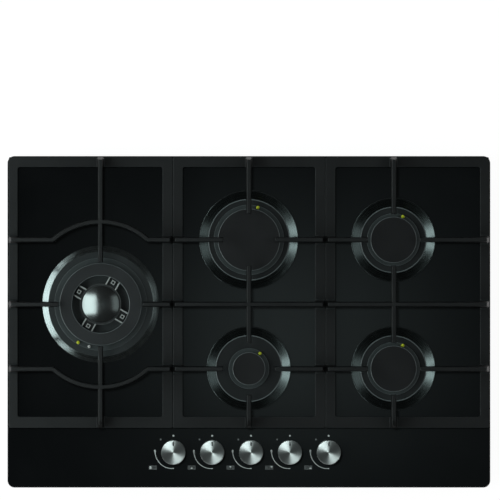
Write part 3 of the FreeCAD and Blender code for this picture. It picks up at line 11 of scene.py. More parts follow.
import bmesh
import bpy
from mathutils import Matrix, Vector

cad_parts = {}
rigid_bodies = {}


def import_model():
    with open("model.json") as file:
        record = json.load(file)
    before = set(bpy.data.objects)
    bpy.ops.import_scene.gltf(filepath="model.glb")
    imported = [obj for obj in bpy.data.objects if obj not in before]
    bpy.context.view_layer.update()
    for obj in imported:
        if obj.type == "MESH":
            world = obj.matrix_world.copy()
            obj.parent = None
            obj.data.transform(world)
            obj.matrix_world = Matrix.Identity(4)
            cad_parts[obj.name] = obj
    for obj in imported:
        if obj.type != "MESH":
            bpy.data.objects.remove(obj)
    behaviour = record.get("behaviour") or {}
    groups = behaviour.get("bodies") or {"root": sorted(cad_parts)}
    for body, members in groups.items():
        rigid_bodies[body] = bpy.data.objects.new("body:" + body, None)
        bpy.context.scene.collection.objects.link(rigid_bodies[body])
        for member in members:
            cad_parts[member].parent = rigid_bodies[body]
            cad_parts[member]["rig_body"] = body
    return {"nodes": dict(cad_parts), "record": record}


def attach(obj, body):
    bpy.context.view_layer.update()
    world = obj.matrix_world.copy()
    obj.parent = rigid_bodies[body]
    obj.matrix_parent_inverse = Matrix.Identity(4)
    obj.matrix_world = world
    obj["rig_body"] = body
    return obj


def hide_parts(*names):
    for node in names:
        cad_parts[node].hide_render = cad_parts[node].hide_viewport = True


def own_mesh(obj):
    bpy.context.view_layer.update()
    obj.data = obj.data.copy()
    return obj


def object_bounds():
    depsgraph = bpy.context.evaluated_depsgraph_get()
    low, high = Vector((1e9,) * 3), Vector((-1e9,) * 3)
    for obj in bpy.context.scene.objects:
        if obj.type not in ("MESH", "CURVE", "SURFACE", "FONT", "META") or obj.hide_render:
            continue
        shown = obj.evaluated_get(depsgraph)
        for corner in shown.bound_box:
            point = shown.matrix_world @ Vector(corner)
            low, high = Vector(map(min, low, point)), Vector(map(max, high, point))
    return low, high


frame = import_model()
cad_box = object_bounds()
scene = bpy.context.scene

# %% [markdown]
# ## Sizes that several steps share
# The real burners and knobs stand on a plan that every later step refers to.  The places could
# be read off each CAD mesh, but a short list in millimetres is easier to follow and to change.

# %% Shared sizes
MM = 0.001
GLASS_FACE = 8.0
FLOOR = round(cad_box[0][2] / MM, 3)
BURNERS = {
    "wok": (-230.0, 27.4),
    "rapid": (0.0, 127.4),
    "semi_rear": (224.5, 127.4),
    "semi_front": (224.5, -72.6),
    "aux": (0.0, -72.6),
}
KNOBS = ("wok", "aux", "rapid", "semi_rear", "semi_front")
KNOB_ROW = -202.6
KNOB_STEP = 60.3
KNOB_MIDDLE = 3.3


def knob_place(index):
    """The axis of a knob, counted from the left."""
    return KNOB_MIDDLE + KNOB_STEP * (index - len(KNOBS) // 2), KNOB_ROW


print("knobs stand at", [round(knob_place(index)[0], 1) for index in range(len(KNOBS))])

# %% [markdown]
# ## The camera
# A product picture from straight above flattens the object, as a long lens far away does.
# A perspective lens is used and not an orthographic one, because the small spread of its rays
# is what lets the glass mirror a soft glow in its middle only; a painted glow in the glass's colour adds to
# it.

# %% Camera
CAMERA_HIGH = 12.0
VIEW_WIDE = 0.7768
VIEW_MIDDLE = (1.7, 111.6)
camera_data = bpy.data.cameras.new("camera")
camera_data.lens = camera_data.sensor_width * (CAMERA_HIGH - GLASS_FACE * MM) / VIEW_WIDE
camera = bpy.data.objects.new("camera", camera_data)
camera.location = (VIEW_MIDDLE[0] * MM, VIEW_MIDDLE[1] * MM, CAMERA_HIGH)
scene.collection.objects.link(camera)
scene.camera = camera
scene.view_settings.view_transform = "Standard"
print("lens", round(camera_data.lens, 1), "mm")

# %% [markdown]
# ## Small helpers for shader nodes
# A finish is a graph of nodes.  One helper adds a node, sets what it is told and links what is
# a socket, so that each finish below reads as a list of what it is made of.

# %% Node helpers
def put(tree, kind, inputs=None, **settings):
    """Add a shader node; an input that is a socket is linked, any other is set."""
    item = tree.nodes.new("ShaderNode" + kind)
    for key, value in settings.items():
        setattr(item, key, value)
    for key, value in (inputs or {}).items():
        if isinstance(value, bpy.types.NodeSocket):
            tree.links.new(value, item.inputs[key])
        else:
            item.inputs[key].default_value = value
    return item


def spread(tree, value, low, high, new_low, new_high):
    """Map a value from one range to another, kept inside it."""
    ranges = {"Value": value, "From Min": low, "From Max": high,
              "To Min": new_low, "To Max": new_high}
    return put(tree, "MapRange", ranges).outputs["Result"]


def between(tree, value, dark, light):
    """A colour between two, chosen by a value from 0 to 1."""
    ramp = put(tree, "ValToRGB", {"Fac": value})
    ramp.color_ramp.elements[0].color = (*dark, 1)
    ramp.color_ramp.elements[1].color = (*light, 1)
    return ramp.outputs["Color"]


def blend(tree, mask, under, over):
    """One colour laid over another where the mask is 1."""
    return put(tree, "Mix", {0: mask, 6: under, 7: over}, data_type="RGBA").outputs[2]


def larger(tree, a, b):
    """The greater of two values."""
    return put(tree, "Math", {0: a, 1: b}, operation="MAXIMUM").outputs["Value"]


def times(tree, a, b):
    """Two values multiplied."""
    return put(tree, "Math", {0: a, 1: b}, operation="MULTIPLY").outputs["Value"]


def plus(tree, a, b):
    """Two values added."""
    return put(tree, "Math", {0: a, 1: b}, operation="ADD").outputs["Value"]


def tone(*steps):
    """A colour given in steps of 0 to 255, as a screen shows it, in the renderer's linear light."""
    def linear(step):
        part = step / 255
        return part / 12.92 if part < 0.04045 else ((part + 0.055) / 1.055) ** 2.4
    return tuple(linear(step) for step in steps)


print("a screen grey of 30 is", round(tone(30)[0], 4), "in linear light")

# %% [markdown]
# ## The floor
# A product picture has a white ground with a faint shadow.  Here the floor shines evenly where
# the camera, a mirror or clear glass sees it, and keeps a share of plain diffuse, so that the
# shadow still falls on it.  A plain white floor under lamps would show their uneven pools.

# %% Studio helpers
def seen(tree):
    """The camera's rays, and those of a mirror or clear glass, as two masks."""
    path = put(tree, "LightPath").outputs
    mirror = larger(tree, path["Is Glossy Ray"], path["Is Transmission Ray"])
    return path["Is Camera Ray"], mirror


def empty_finish(name):
    """A material with nothing in its graph yet."""
    made = bpy.data.materials.new(name)
    made.use_nodes = True
    made.node_tree.nodes.clear()
    return made, made.node_tree


def level_sheet(name, reach, height, finish):
    """A level square of the studio, not of the object: a grid of one cell."""
    bm = bmesh.new()
    bmesh.ops.create_grid(bm, x_segments=1, y_segments=1, size=reach)
    bmesh.ops.translate(bm, verts=bm.verts, vec=(0, 0, height))
    mesh = bpy.data.meshes.new(name)
    bm.to_mesh(mesh)
    bm.free()
    mesh.materials.append(finish)
    made = bpy.data.objects.new(name, mesh)
    scene.collection.objects.link(made)
    return made


print("helpers for the floor, the room and the light card are ready")

# %% Floor
FLOOR_REACH = 15.0
FLOOR_SHADOW = 0.14
FLOOR_WHITE = 1.09
pale, tree = empty_finish("pale floor")
eye, mirror = seen(tree)
lit = put(tree, "BsdfDiffuse", {"Color": (0.8, 0.8, 0.8, 1)}).outputs["BSDF"]
white = put(tree, "Emission", {"Strength": FLOOR_WHITE}).outputs["Emission"]
share = times(tree, larger(tree, eye, mirror), 1 - FLOOR_SHADOW)
mixed = put(tree, "MixShader", {0: share, 1: lit, 2: white}).outputs["Shader"]
put(tree, "OutputMaterial", {"Surface": mixed})
level_sheet("floor", FLOOR_REACH, FLOOR * MM, pale)
print("the floor lies at", FLOOR, "mm, under the tray")

# %% [markdown]
# ## The room
# The room is white low down and dim overhead.  Black glass seen from above mirrors the ceiling,
# so a white ceiling would turn it grey.  Soft light for dull surfaces comes from the same room,
# at a level of its own.

# %% Room
ROOM_DIM = 0.015
ROOM_SOFT = 0.50
HORIZON_LOW = 0.02
HORIZON_HIGH = 0.09
room = bpy.data.worlds.new("room")
room.use_nodes = True
tree = room.node_tree
tree.nodes.clear()
eye, mirror = seen(tree)
toward = put(tree, "TexCoord").outputs["Generated"]
height = put(tree, "SeparateXYZ", {"Vector": toward}).outputs["Z"]
low_down = spread(tree, height, HORIZON_LOW, HORIZON_HIGH, 1.0, 0.0)
white_part = larger(tree, eye, times(tree, mirror, low_down))
dim = spread(tree, mirror, 0.0, 1.0, ROOM_SOFT, ROOM_DIM)
strength = plus(tree, white_part, times(tree, dim, spread(tree, white_part, 0.0, 1.0, 1.0, 0.0)))
light = put(tree, "Background", {"Strength": strength}).outputs["Background"]
put(tree, "OutputWorld", {"Surface": light})
scene.world = room
print("the room is", ROOM_DIM, "overhead in mirrors and", ROOM_SOFT, "for soft light")

# %% [markdown]
# ## The lamps
# Long soft boxes stand left and right, because a row of turned bowls looks best when each has
# one bright side, one weaker side and a dark front and back.  They are placed by the direction
# that they light from, and their power is worked out from the brightness that a mirror sees.
# Knobs, the dome and the dull castings get lamps of their own later, and some of these lamps
# then pass them by.

# %% Lamps
LAMP_FAR = 8.0
LAMP_TINT = (0.90, 1.0, 0.99)


def lamp(name, turn, lean, tall, wide, brightness, far=LAMP_FAR):
    """A soft box: its direction from +X and from the vertical, its spans, all in degrees."""
    data = bpy.data.lights.new(name, "AREA")
    data.shape = "RECTANGLE"
    data.size = 2 * far * math.tan(math.radians(wide) / 2)
    data.size_y = 2 * far * math.tan(math.radians(tall) / 2)
    data.energy = brightness * math.pi * data.size * data.size_y
    data.color = LAMP_TINT
    made = bpy.data.objects.new(name, data)
    out = Vector((math.cos(math.radians(turn)), math.sin(math.radians(turn)), 0))
    way = out * math.sin(math.radians(lean)) + Vector((0, 0, math.cos(math.radians(lean))))
    made.location = way * far
    made.rotation_euler = way.to_track_quat("Z", "Y").to_euler()
    made.visible_camera = False
    scene.collection.objects.link(made)
    return made


key_lamps = [
    lamp("left low box", 184, 66, 14, 98, 5.0),
    lamp("left high box", 181, 32, 32, 22, 2.9),
    lamp("right box", 4, 38, 20, 26, 0.75),
    lamp("right low box", 5, 66, 16, 50, 0.16),
]
lamp("back box", 142, 59, 8, 34, 1.0)

# %% [markdown]
# ## Effects that several finishes share
# Each effect is a node group with its own sockets, built once and placed in each finish with its
# own values.  A group puts out only masks, heights and normals: the shader stays in the finish,
# where it can be seen and changed.

# %% Group maker
def new_group(name, takes, gives):
    """A node group, with its input and output sockets; an input with no value is a vector."""
    group = bpy.data.node_groups.new(name, "ShaderNodeTree")
    for label, value in takes.items():
        kind = "NodeSocketVector" if value is None else "NodeSocketFloat"
        socket = group.interface.new_socket(label, in_out="INPUT", socket_type=kind)
        if value is not None:
            socket.default_value = value
    for label in gives:
        group.interface.new_socket(label, in_out="OUTPUT", socket_type="NodeSocketFloat")
    inside = group.nodes.new("NodeGroupInput").outputs
    outside = group.nodes.new("NodeGroupOutput").inputs
    return group, inside, outside


print("groups can be made")

# %% [markdown]
# ## Grain
# Enamel, castings and moulded plastic are never quite even.  Fine noise gives the small bumps,
# and broad noise makes one part of a surface a little lighter than the next.  Noise on Object
# coordinates needs no map, so it also suits the CAD nodes.

# %% Grain
grain, inside, outside = new_group("grain", {"Scale": 900.0}, ("Shade", "Height"))
where = put(grain, "TexCoord").outputs["Object"]
fine = put(grain, "TexNoise", {"Vector": where, "Scale": inside["Scale"], "Detail": 3.0})
broad = put(grain, "TexNoise", {"Vector": where, "Scale": 22.0, "Detail": 2.0})
shade = plus(grain, times(grain, fine.outputs["Fac"], 0.65), times(grain, broad.outputs["Fac"], 0.35))
grain.links.new(spread(grain, shade, 0.35, 0.65, 0.0, 1.0), outside["Shade"])
grain.links.new(fine.outputs["Fac"], outside["Height"])
print("grain gives", [s.name for s in outside if s.name])

# %% [markdown]
# ## Turned rings
# A lathe leaves fine circles round its axis.  Noise along one line, read at the distance from
# that axis, gives rings of uneven width, and a little plain noise breaks them up.  The distance
# comes from the plan map that turned pieces carry.

# %% Turned rings
rings, inside, outside = new_group("turned rings", {"Plan": None, "Rings": 2500.0}, ("Shade", "Height"))
out_from_axis = put(rings, "VectorMath", {0: inside["Plan"]}, operation="LENGTH").outputs["Value"]
count = times(rings, out_from_axis, inside["Rings"])
marks = put(rings, "TexNoise", {"W": count, "Scale": 1.0, "Detail": 2.0}, noise_dimensions="1D")
waves = put(rings, "TexNoise", {"Vector": inside["Plan"], "Scale": 60.0, "Detail": 1.0})
shade = plus(rings, times(rings, marks.outputs["Fac"], 0.7), times(rings, waves.outputs["Fac"], 0.3))
rings.links.new(spread(rings, shade, 0.3, 0.7, 0.0, 1.0), outside["Shade"])
rings.links.new(marks.outputs["Fac"], outside["Height"])
print("turned rings gives", [s.name for s in outside if s.name])

# %% [markdown]
# ## Slopes: painted edge highlights and wall shade
# Upper edges get a lighter colour, a painted highlight, and more gloss; walls get a darker colour,
# painted shade.  Which way the surface faces tells the two apart.  The normal is eased first by a
# Bevel node, which rounds each edge in the light, so that edges too small for geometry still draw their
# line.

# %% Slopes
EDGE_BAND = (0.60, 0.74, 0.90, 0.985)
WALL_BAND = (0.42, 0.58)
# The edge mask marks where a lighter colour is painted as a highlight, the wall mask where a darker one is
# painted as shade.
slopes, inside, outside = new_group("slopes", {"Round": 0.0012}, ("Edge", "Shaded wall"))
slopes.interface.new_socket("Normal", in_out="OUTPUT", socket_type="NodeSocketVector")
eased = put(slopes, "Bevel", {"Radius": inside["Round"]}, samples=6).outputs["Normal"]
facing = put(slopes, "SeparateXYZ", {"Vector": eased}).outputs["Z"]
steep, steady, turning, level = EDGE_BAND
not_level = spread(slopes, facing, turning, level, 1.0, 0.0)
not_steep = spread(slopes, facing, steep, steady, 0.0, 1.0)
slopes.links.new(times(slopes, not_level, not_steep), outside["Edge"])
slopes.links.new(spread(slopes, facing, *WALL_BAND, 1.0, 0.0), outside["Shaded wall"])
slopes.links.new(eased, outside["Normal"])
print("slopes gives", [s.name for s in outside if s.name])

# %% [markdown]
# ## Bell curve
# A glow that is strongest at one point and fades to all sides, at a rate of its own along each
# axis.  The light card and the painted glow in the glass's colour both use it.

# %% Bell curve
bell, inside, outside = new_group("bell curve", {"Middle": None, "Rate": None}, ("Value",))
where = put(bell, "TexCoord").outputs["Object"]
away = put(bell, "VectorMath", {0: where, 1: inside["Middle"]}, operation="SUBTRACT").outputs["Vector"]
away = put(bell, "VectorMath", {0: away, 1: inside["Rate"]}, operation="MULTIPLY").outputs["Vector"]
square = put(bell, "VectorMath", {0: away, 1: away}, operation="DOT_PRODUCT").outputs["Value"]
fade = put(bell, "Math", {0: times(bell, square, -1.0)}, operation="EXPONENT").outputs["Value"]
bell.links.new(fade, outside["Value"])
print("bell curve gives", [s.name for s in outside if s.name])

# %% [markdown]
# ## Smudges
# Hands and cloths leave a film on glass in soft uneven patches, which twisted noise imitates.

# %% Smudges
smudges, inside, outside = new_group("smudges", {"Scale": 9.0}, ("Mask",))
where = put(smudges, "TexCoord").outputs["Object"]
film = put(smudges, "TexNoise",
           {"Vector": where, "Scale": inside["Scale"], "Detail": 5.0, "Distortion": 0.6})
smudges.links.new(spread(smudges, film.outputs["Fac"], 0.42, 0.72, 0.0, 1.0), outside["Mask"])
print("smudges gives", [s.name for s in outside if s.name])

# %% [markdown]
# ## Finish makers
# Most surfaces here are one of two kinds: a grainy one, whose colour and roughness change a
# little from spot to spot, and a turned one, whose scratches run round its axis.  The second
# also stretches its highlights, which is what draws bright fans on spun metal.

# %% Plain start of a finish
def start(name, fixed):
    """A material, its graph and its shader's inputs, with the inputs in fixed set to a value."""
    made = bpy.data.materials.new(name)
    made.use_nodes = True
    shader = made.node_tree.nodes["Principled BSDF"]
    for key, value in fixed.items():
        shader.inputs[key].default_value = value
    return made, made.node_tree, shader.inputs


def use_group(tree, group, inputs):
    """Place a node group in a graph and give its outputs."""
    item = put(tree, "Group", node_tree=group)
    for key, value in inputs.items():
        if isinstance(value, bpy.types.NodeSocket):
            tree.links.new(value, item.inputs[key])
        else:
            item.inputs[key].default_value = value
    return item.outputs


def bump(tree, height, depth):
    """A bump whose depth is in millimetres."""
    return put(tree, "Bump", {"Height": height, "Distance": depth * MM}).outputs["Normal"]


def socket_names(fixed):
    """Keyword arguments can't hold spaces, so an underscore stands for each."""
    return {key.replace("_", " "): value for key, value in fixed.items()}


print("a finish starts from a Principled shader")

# %% Grainy finish
EDGE_GLOSS = 0.5


def grainy(name, dark, light, rough, scale=900.0, depth=0.02, edge=None, side=None, soft=1.2, **fixed):
    """A grainy finish; edge is a painted highlight colour on upper edges, eased by soft, and side is painted
    shade on walls.
    """
    made, tree, sockets = start(name, socket_names(fixed))
    marks = use_group(tree, grain, {"Scale": scale})
    colour = between(tree, marks["Shade"], dark, light)
    normal = bump(tree, marks["Height"], depth)
    if edge:
        parts = use_group(tree, slopes, {"Round": soft * MM})
        tree.links.new(parts["Normal"], normal.node.inputs["Normal"])
        # A lighter colour on upper edges is a painted highlight, a darker one on walls painted shade.
        colour = blend(tree, parts["Edge"], colour, (*edge, 1))
        colour = blend(tree, parts["Shaded wall"], colour, (*(side or dark), 1))
    tree.links.new(colour, sockets["Base Color"])
    dullness = spread(tree, marks["Shade"], 0, 1, rough - 0.05, rough + 0.05)
    if edge:
        dullness = times(tree, dullness, spread(tree, parts["Edge"], 0, 1, 1.0, EDGE_GLOSS))
    tree.links.new(dullness, sockets["Roughness"])
    tree.links.new(normal, sockets["Normal"])
    return made


print("on an edge, roughness falls to", EDGE_GLOSS, "of what it is on the flat")

# %% Turned finish
QUARTER_TURN = 0.25


def turned(name, dark, light, rough, count=2500.0, depth=0.004, stretch=0.0, **fixed):
    """A finish with lathe rings; stretch draws its highlights out across them."""
    made, tree, sockets = start(name, socket_names(fixed))
    plan = put(tree, "UVMap", uv_map="plan").outputs["UV"]
    marks = use_group(tree, rings, {"Plan": plan, "Rings": count})
    tree.links.new(between(tree, marks["Shade"], dark, light), sockets["Base Color"])
    tree.links.new(spread(tree, marks["Shade"], 0, 1, rough - 0.04, rough + 0.04), sockets["Roughness"])
    tree.links.new(bump(tree, marks["Height"], depth), sockets["Normal"])
    if stretch:
        sockets["Anisotropic"].default_value = stretch
        sockets["Anisotropic Rotation"].default_value = QUARTER_TURN
        around = put(tree, "Tangent", direction_type="RADIAL", axis="Z").outputs["Tangent"]
        tree.links.new(around, sockets["Tangent"])
    return made


print("turned finishes read the plan map")

# %% [markdown]
# ## The glow over the glass
# A faint light card hangs far above.  Black glass mirrors it, so the middle of the plate shows
# a soft glow that fades to all sides.  Its brightness is a bell curve round a point on the card.

# %% Light card
CARD_HIGH = 8.0
CARD_REACH = 1.6
GLOW_MIDDLE = (0.105, -0.109)
GLOW_WIDE, GLOW_DEEP = 0.363, 0.311
GLOW_PEAK, GLOW_LEAST = 0.07, 0.02
glow, tree = empty_finish("glow")
fade = use_group(tree, bell, {"Middle": (*GLOW_MIDDLE, 0), "Rate": (1 / GLOW_WIDE, 1 / GLOW_DEEP, 0)})
level = plus(tree, times(tree, fade["Value"], GLOW_PEAK), GLOW_LEAST)
shine = put(tree, "Emission", {"Color": (0.86, 1.0, 1.0, 1), "Strength": level}).outputs["Emission"]
put(tree, "OutputMaterial", {"Surface": shine})
card = level_sheet("light_card", CARD_REACH, CARD_HIGH, glow)
card.visible_camera = False
print("the card hangs at", CARD_HIGH, "m")

# %% [markdown]
# ## Black glass
# The plate is tempered glass, enamelled black on its underside.  It is nearly pure gloss: smudges
# change how sharp its mirror is, and a painted glow, a lighter colour laid in as a bell curve,
# lifts the middle of the plate as a wide lamp does in the real picture.  A lamp that only the
# glass sees lights that painted glow later.

# %% Glass
PAINTED_GLOW_MIDDLE = (0.064, -0.021, 0)
PAINTED_GLOW_WIDE, PAINTED_GLOW_DEEP = 0.218, 0.187
PAINTED_GLOW_RATE = (1 / PAINTED_GLOW_WIDE, 1 / PAINTED_GLOW_DEEP, 0)
black_glass, tree, sockets = start("black glass", {"IOR": 1.5})
smudge = use_group(tree, smudges, {"Scale": 7.0})["Mask"]
painted_glow = use_group(tree, bell, {"Middle": PAINTED_GLOW_MIDDLE, "Rate": PAINTED_GLOW_RATE})["Value"]
clean = between(tree, smudge, tone(4.0, 4.5, 5.0), tone(5.0, 5.6, 6.0))
# The lighter colour blended in by the bell curve is a painted glow, a pool of light laid into the glass's
# colour.
tree.links.new(blend(tree, painted_glow, clean, (*tone(17.5, 19.5, 19.8), 1)), sockets["Base Color"])
tree.links.new(spread(tree, smudge, 0, 1, 0.05, 0.10), sockets["Roughness"])
print("the haze is centred at", PAINTED_GLOW_MIDDLE)

# %% [markdown]
# ## Enamel, iron and alloy
# Bowls are turned metal, caps are satin black enamel with a light line on each edge, partly from
# a real round and partly a painted highlight in their colour, and pan supports are enamelled cast
# iron with painted highlights on their edges and painted shade on their walls.  Knobs and the dome
# are spun metal.  The rest is what a cooktop hides below.  A table of finishes, one for each slot
# of the record, keeps them in view.

# %% Finishes for the record's slots
# On caps the lighter edge colour is a painted highlight and the side colour painted shade on walls.
CAP_LIT_EDGE_AND_SHADED_WALL = {"edge": tone(112, 123, 124), "side": tone(16, 20, 21), "soft": 0.7,
            "Specular_IOR_Level": 0.8}
FINISHES = {
    "glass": black_glass,
    "seal": grainy("foam rubber", tone(30, 30, 30), tone(46, 46, 46), 0.9, 700, 0.08),
    "rubber": grainy("black rubber", tone(22, 22, 22), tone(32, 32, 32), 0.7, 1200, 0.02),
    "zinc_steel": grainy("zinc plated steel", tone(150, 154, 158), tone(186, 190, 194), 0.38, 160, 0.01,
                         Metallic=1.0),
    "screw_steel": grainy("screw steel", tone(170, 172, 174), tone(205, 207, 208), 0.25, 600, 0.005,
                          Metallic=1.0),
    "bowl": turned("turned dark metal", tone(90, 99, 99), tone(98, 107, 107), 0.26, 1800, 0.006, 0.75,
                   Metallic=1.0),
    # Its lighter edge colour is a painted highlight and its darker side colour painted shade on walls.
    "cast_alloy": grainy("dark cast alloy", tone(53, 62, 63), tone(65, 75, 76), 0.42, 1500, 0.02,
                         edge=tone(112, 123, 124), side=tone(28, 33, 34), soft=0.6, Specular_IOR_Level=0.6),
    "crown_alloy": grainy("cast aluminium", tone(120, 124, 124), tone(160, 164, 164), 0.45, 1500, 0.02,
                          Metallic=1.0),
    "cap_enamel": grainy("satin black enamel", tone(20, 24, 26), tone(29, 33, 35), 0.45, 1900, 0.012,
                         **CAP_LIT_EDGE_AND_SHADED_WALL),
    "dome": turned("polished dome", tone(168, 178, 177), tone(182, 191, 190), 0.20, 2200, 0.0004,
                   0.4, Metallic=1.0),
    # Its lighter edge colour is a painted highlight and its near black side colour painted shade on walls.
    "cast_iron": grainy("enamelled cast iron", tone(24, 28, 29), tone(33, 37, 38), 0.52, 1100, 0.035,
                        edge=tone(44, 51, 52), side=tone(8, 10, 11), soft=1.4, Specular_IOR_Level=0.5),
    "knob_metal": turned("spun aluminium", tone(196, 204, 203), tone(224, 230, 229), 0.34, 3200, 0.002,
                         0.85, Metallic=1.0),
    "valve_brass": grainy("brass", tone(176, 142, 78), tone(204, 172, 104), 0.35, 500, 0.01, Metallic=1.0),
    "steel": grainy("plain steel", tone(150, 152, 155), tone(180, 182, 184), 0.35, 400, 0.008, Metallic=1.0),
    "pipe": grainy("aluminium pipe", tone(176, 178, 180), tone(204, 206, 207), 0.40, 300, 0.006,
                   Metallic=1.0),
    "ceramic": grainy("glazed ceramic", tone(206, 212, 208), tone(232, 236, 232), 0.22, 500, 0.004,
                      Coat_Weight=0.4),
    "probe": grainy("probe brass", tone(176, 190, 30), tone(198, 208, 46), 0.36, 900, 0.01),
    "box_plastic": grainy("moulded plastic", tone(48, 50, 52), tone(60, 62, 64), 0.55, 1400, 0.03),
}
print(len(FINISHES), "finishes, one for each slot of the record")

# %% Finishes for parts of a bowl or cap
floor_enamel = grainy("satin floor of a bowl", tone(26, 30, 31), tone(35, 39, 40), 0.45, 1500, 0.012,
                      Specular_IOR_Level=0.2)
# The bead's light grey colour is partly a painted highlight: its round and its gloss make the rest of its
# line.
bead_highlight_enamel = grainy("enamel bead of a bowl", tone(96, 106, 107), tone(108, 119, 120), 0.24, 1500, 0.006,
                    Specular_IOR_Level=1.0)
plate_enamel = grainy("satin enamel of the plate", tone(36, 42, 43), tone(46, 53, 54), 0.45, 1500, 0.015,
                      Specular_IOR_Level=0.3)
ring_enamel = grainy("satin enamel of the ring", tone(29, 34, 36), tone(39, 46, 48), 0.45, 1900, 0.012,
                     **CAP_LIT_EDGE_AND_SHADED_WALL)
raised_metal = turned("turned bright metal", tone(148, 158, 158), tone(158, 168, 168), 0.28, 1800, 0.006,
                      0.75, Metallic=1.0)
print("bowls and the ring cap have finishes of their own")

# %% [markdown]
# ## The big burner's crown
# Its two rings are dark with use, but the cast bridges between them show bright metal.  It is
# one casting, so one material has to carry both.  A mask finds the bridges by their distance
# from the burner's axis and their height, and needs no second piece laid over the first.

# %% Crown with bright bridges
BRIDGE_INNER = (31.2, 31.8)
BRIDGE_OUTER = (45.4, 46.0)
BRIDGE_LOW = (18.2, 18.6)


def ramp_in(tree, value, span):
    """0 below a span given in millimetres, 1 above it."""
    return spread(tree, value, span[0] * MM, span[1] * MM, 0.0, 1.0)


crown_finish, tree, sockets = start("crown with bright bridges", {})
marks = use_group(tree, grain, {"Scale": 1500.0})
where = put(tree, "TexCoord").outputs["Object"]
centre = (BURNERS["wok"][0] * MM, BURNERS["wok"][1] * MM, 0)
from_axis = put(tree, "VectorMath", {0: where, 1: centre}, operation="SUBTRACT").outputs["Vector"]
parts = put(tree, "SeparateXYZ", {"Vector": from_axis}).outputs
level = put(tree, "CombineXYZ", {"X": parts["X"], "Y": parts["Y"]}).outputs["Vector"]
reach = put(tree, "VectorMath", {0: level}, operation="LENGTH").outputs["Value"]
outer = spread(tree, ramp_in(tree, reach, BRIDGE_OUTER), 0, 1, 1.0, 0.0)
bridge = times(tree, ramp_in(tree, reach, BRIDGE_INNER), outer)
bridge = times(tree, bridge, ramp_in(tree, parts["Z"], BRIDGE_LOW))
dark = between(tree, marks["Shade"], tone(30, 36, 37), tone(40, 47, 48))
light = between(tree, marks["Shade"], tone(196, 202, 200), tone(226, 232, 230))
tree.links.new(blend(tree, bridge, dark, light), sockets["Base Color"])
tree.links.new(bridge, sockets["Metallic"])
tree.links.new(spread(tree, marks["Shade"], 0, 1, 0.36, 0.46), sockets["Roughness"])
tree.links.new(bump(tree, marks["Height"], 0.02), sockets["Normal"])
print("the crown is bright between", BRIDGE_INNER[0], "and", BRIDGE_OUTER[1], "mm from its axis")

# %% [markdown]
# ## Finishes on the CAD nodes
# Each node names its slot in the record, so one loop gives every node its finish.

# %% Dress the nodes
slots_of = {row["node"]: row["material_slot"] for row in frame["record"]["subparts"]}
for name, item in frame["nodes"].items():
    finish = crown_finish if name == "crown_wok" else FINISHES[slots_of[name]]
    if not item.data.materials:
        item.data.materials.append(finish)
    for index in range(len(item.data.materials)):
        item.data.materials[index] = finish
print("dressed", len(frame["nodes"]), "nodes;", len(slots_of), "have a slot of their own")

# %% [markdown]
# ## Helpers for new pieces
# A new piece starts as a bmesh.  When it is done, it gets the plan map (its distance from its
# own axis in metres), smooth faces with sharp edges only where it has real corners, and then
# it takes the place of a CAD node on the same moving body.

# %% Piece helpers
SHARP = math.radians(38)
EDGE_FLAT = 0.98


def flat_faces(bm):
    """Give the level faces the second finish."""
    for face in bm.faces:
        if face.normal.z > EDGE_FLAT:
            face.material_index = 1
    return bm


def piece(name, bm, finishes, centre=(0.0, 0.0)):
    """Turn a bmesh into an object with its plan map, smooth faces and finishes."""
    plan = bm.loops.layers.uv.new("plan")
    for face in bm.faces:
        face.smooth = True
        for loop in face.loops:
            loop[plan].uv = (loop.vert.co.x - centre[0] * MM, loop.vert.co.y - centre[1] * MM)
    for edge in bm.edges:
        edge.smooth = edge.calc_face_angle(0) < SHARP
    mesh = bpy.data.meshes.new(name)
    bm.to_mesh(mesh)
    bm.free()
    for finish in finishes:
        mesh.materials.append(finish)
    made = bpy.data.objects.new(name, mesh)
    scene.collection.objects.link(made)
    even = made.modifiers.new("even light", "WEIGHTED_NORMAL")
    even.keep_sharp = True
    return made


def stand_for(made, node):
    """Take the place of a CAD node, on the same body."""
    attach(made, frame["nodes"][node]["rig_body"])
    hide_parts(node)
    return made


SPIN_STEPS = 128


def spun(profile, centre, soft=None, steps=SPIN_STEPS, closed=True):
    """Spin a profile of (radius, height) about a vertical axis; soft names corners to round."""
    bm = bmesh.new()
    corners = [bm.verts.new((r * MM, 0, z * MM)) for r, z in profile]
    ends = corners[1:] + corners[:1] if closed else corners[1:]
    edges = [bm.edges.new(pair) for pair in zip(corners, ends)]
    bmesh.ops.spin(bm, geom=corners + edges, axis=(0, 0, 1), cent=(0, 0, 0), dvec=(0, 0, 0),
                   angle=math.tau, steps=steps, use_merge=True)
    bmesh.ops.remove_doubles(bm, verts=bm.verts, dist=1e-6)
    bmesh.ops.dissolve_degenerate(bm, edges=bm.edges, dist=1e-7)
    bmesh.ops.recalc_face_normals(bm, faces=bm.faces)
    for (r, z), size in (soft or {}).items():
        ring = [e for e in bm.edges if all(
            abs(math.hypot(v.co.x, v.co.y) - r * MM) < 1e-6 and abs(v.co.z - z * MM) < 1e-6
            for v in e.verts)]
        bmesh.ops.bevel(bm, geom=ring, offset=size * MM, segments=4, profile=0.5,
                        affect="EDGES", material=-1)
    bmesh.ops.translate(bm, verts=bm.verts, vec=(centre[0] * MM, centre[1] * MM, 0))
    return bm


print("a spun piece has", SPIN_STEPS, "steps round it unless it is small")

# %% [markdown]
# ## The dished bowls
# Four bowls are dished and stand 2 mm proud of the glass.  They are turned sheet, so each is one
# profile spun round its burner.  A spun piece is chosen over the CAD mesh for its rounder lip,
# which draws a thin bright line.  Where the slope meets the floor, a round bead draws another:
# it is a small circle spun the same way, and its light grey colour is partly a painted highlight.

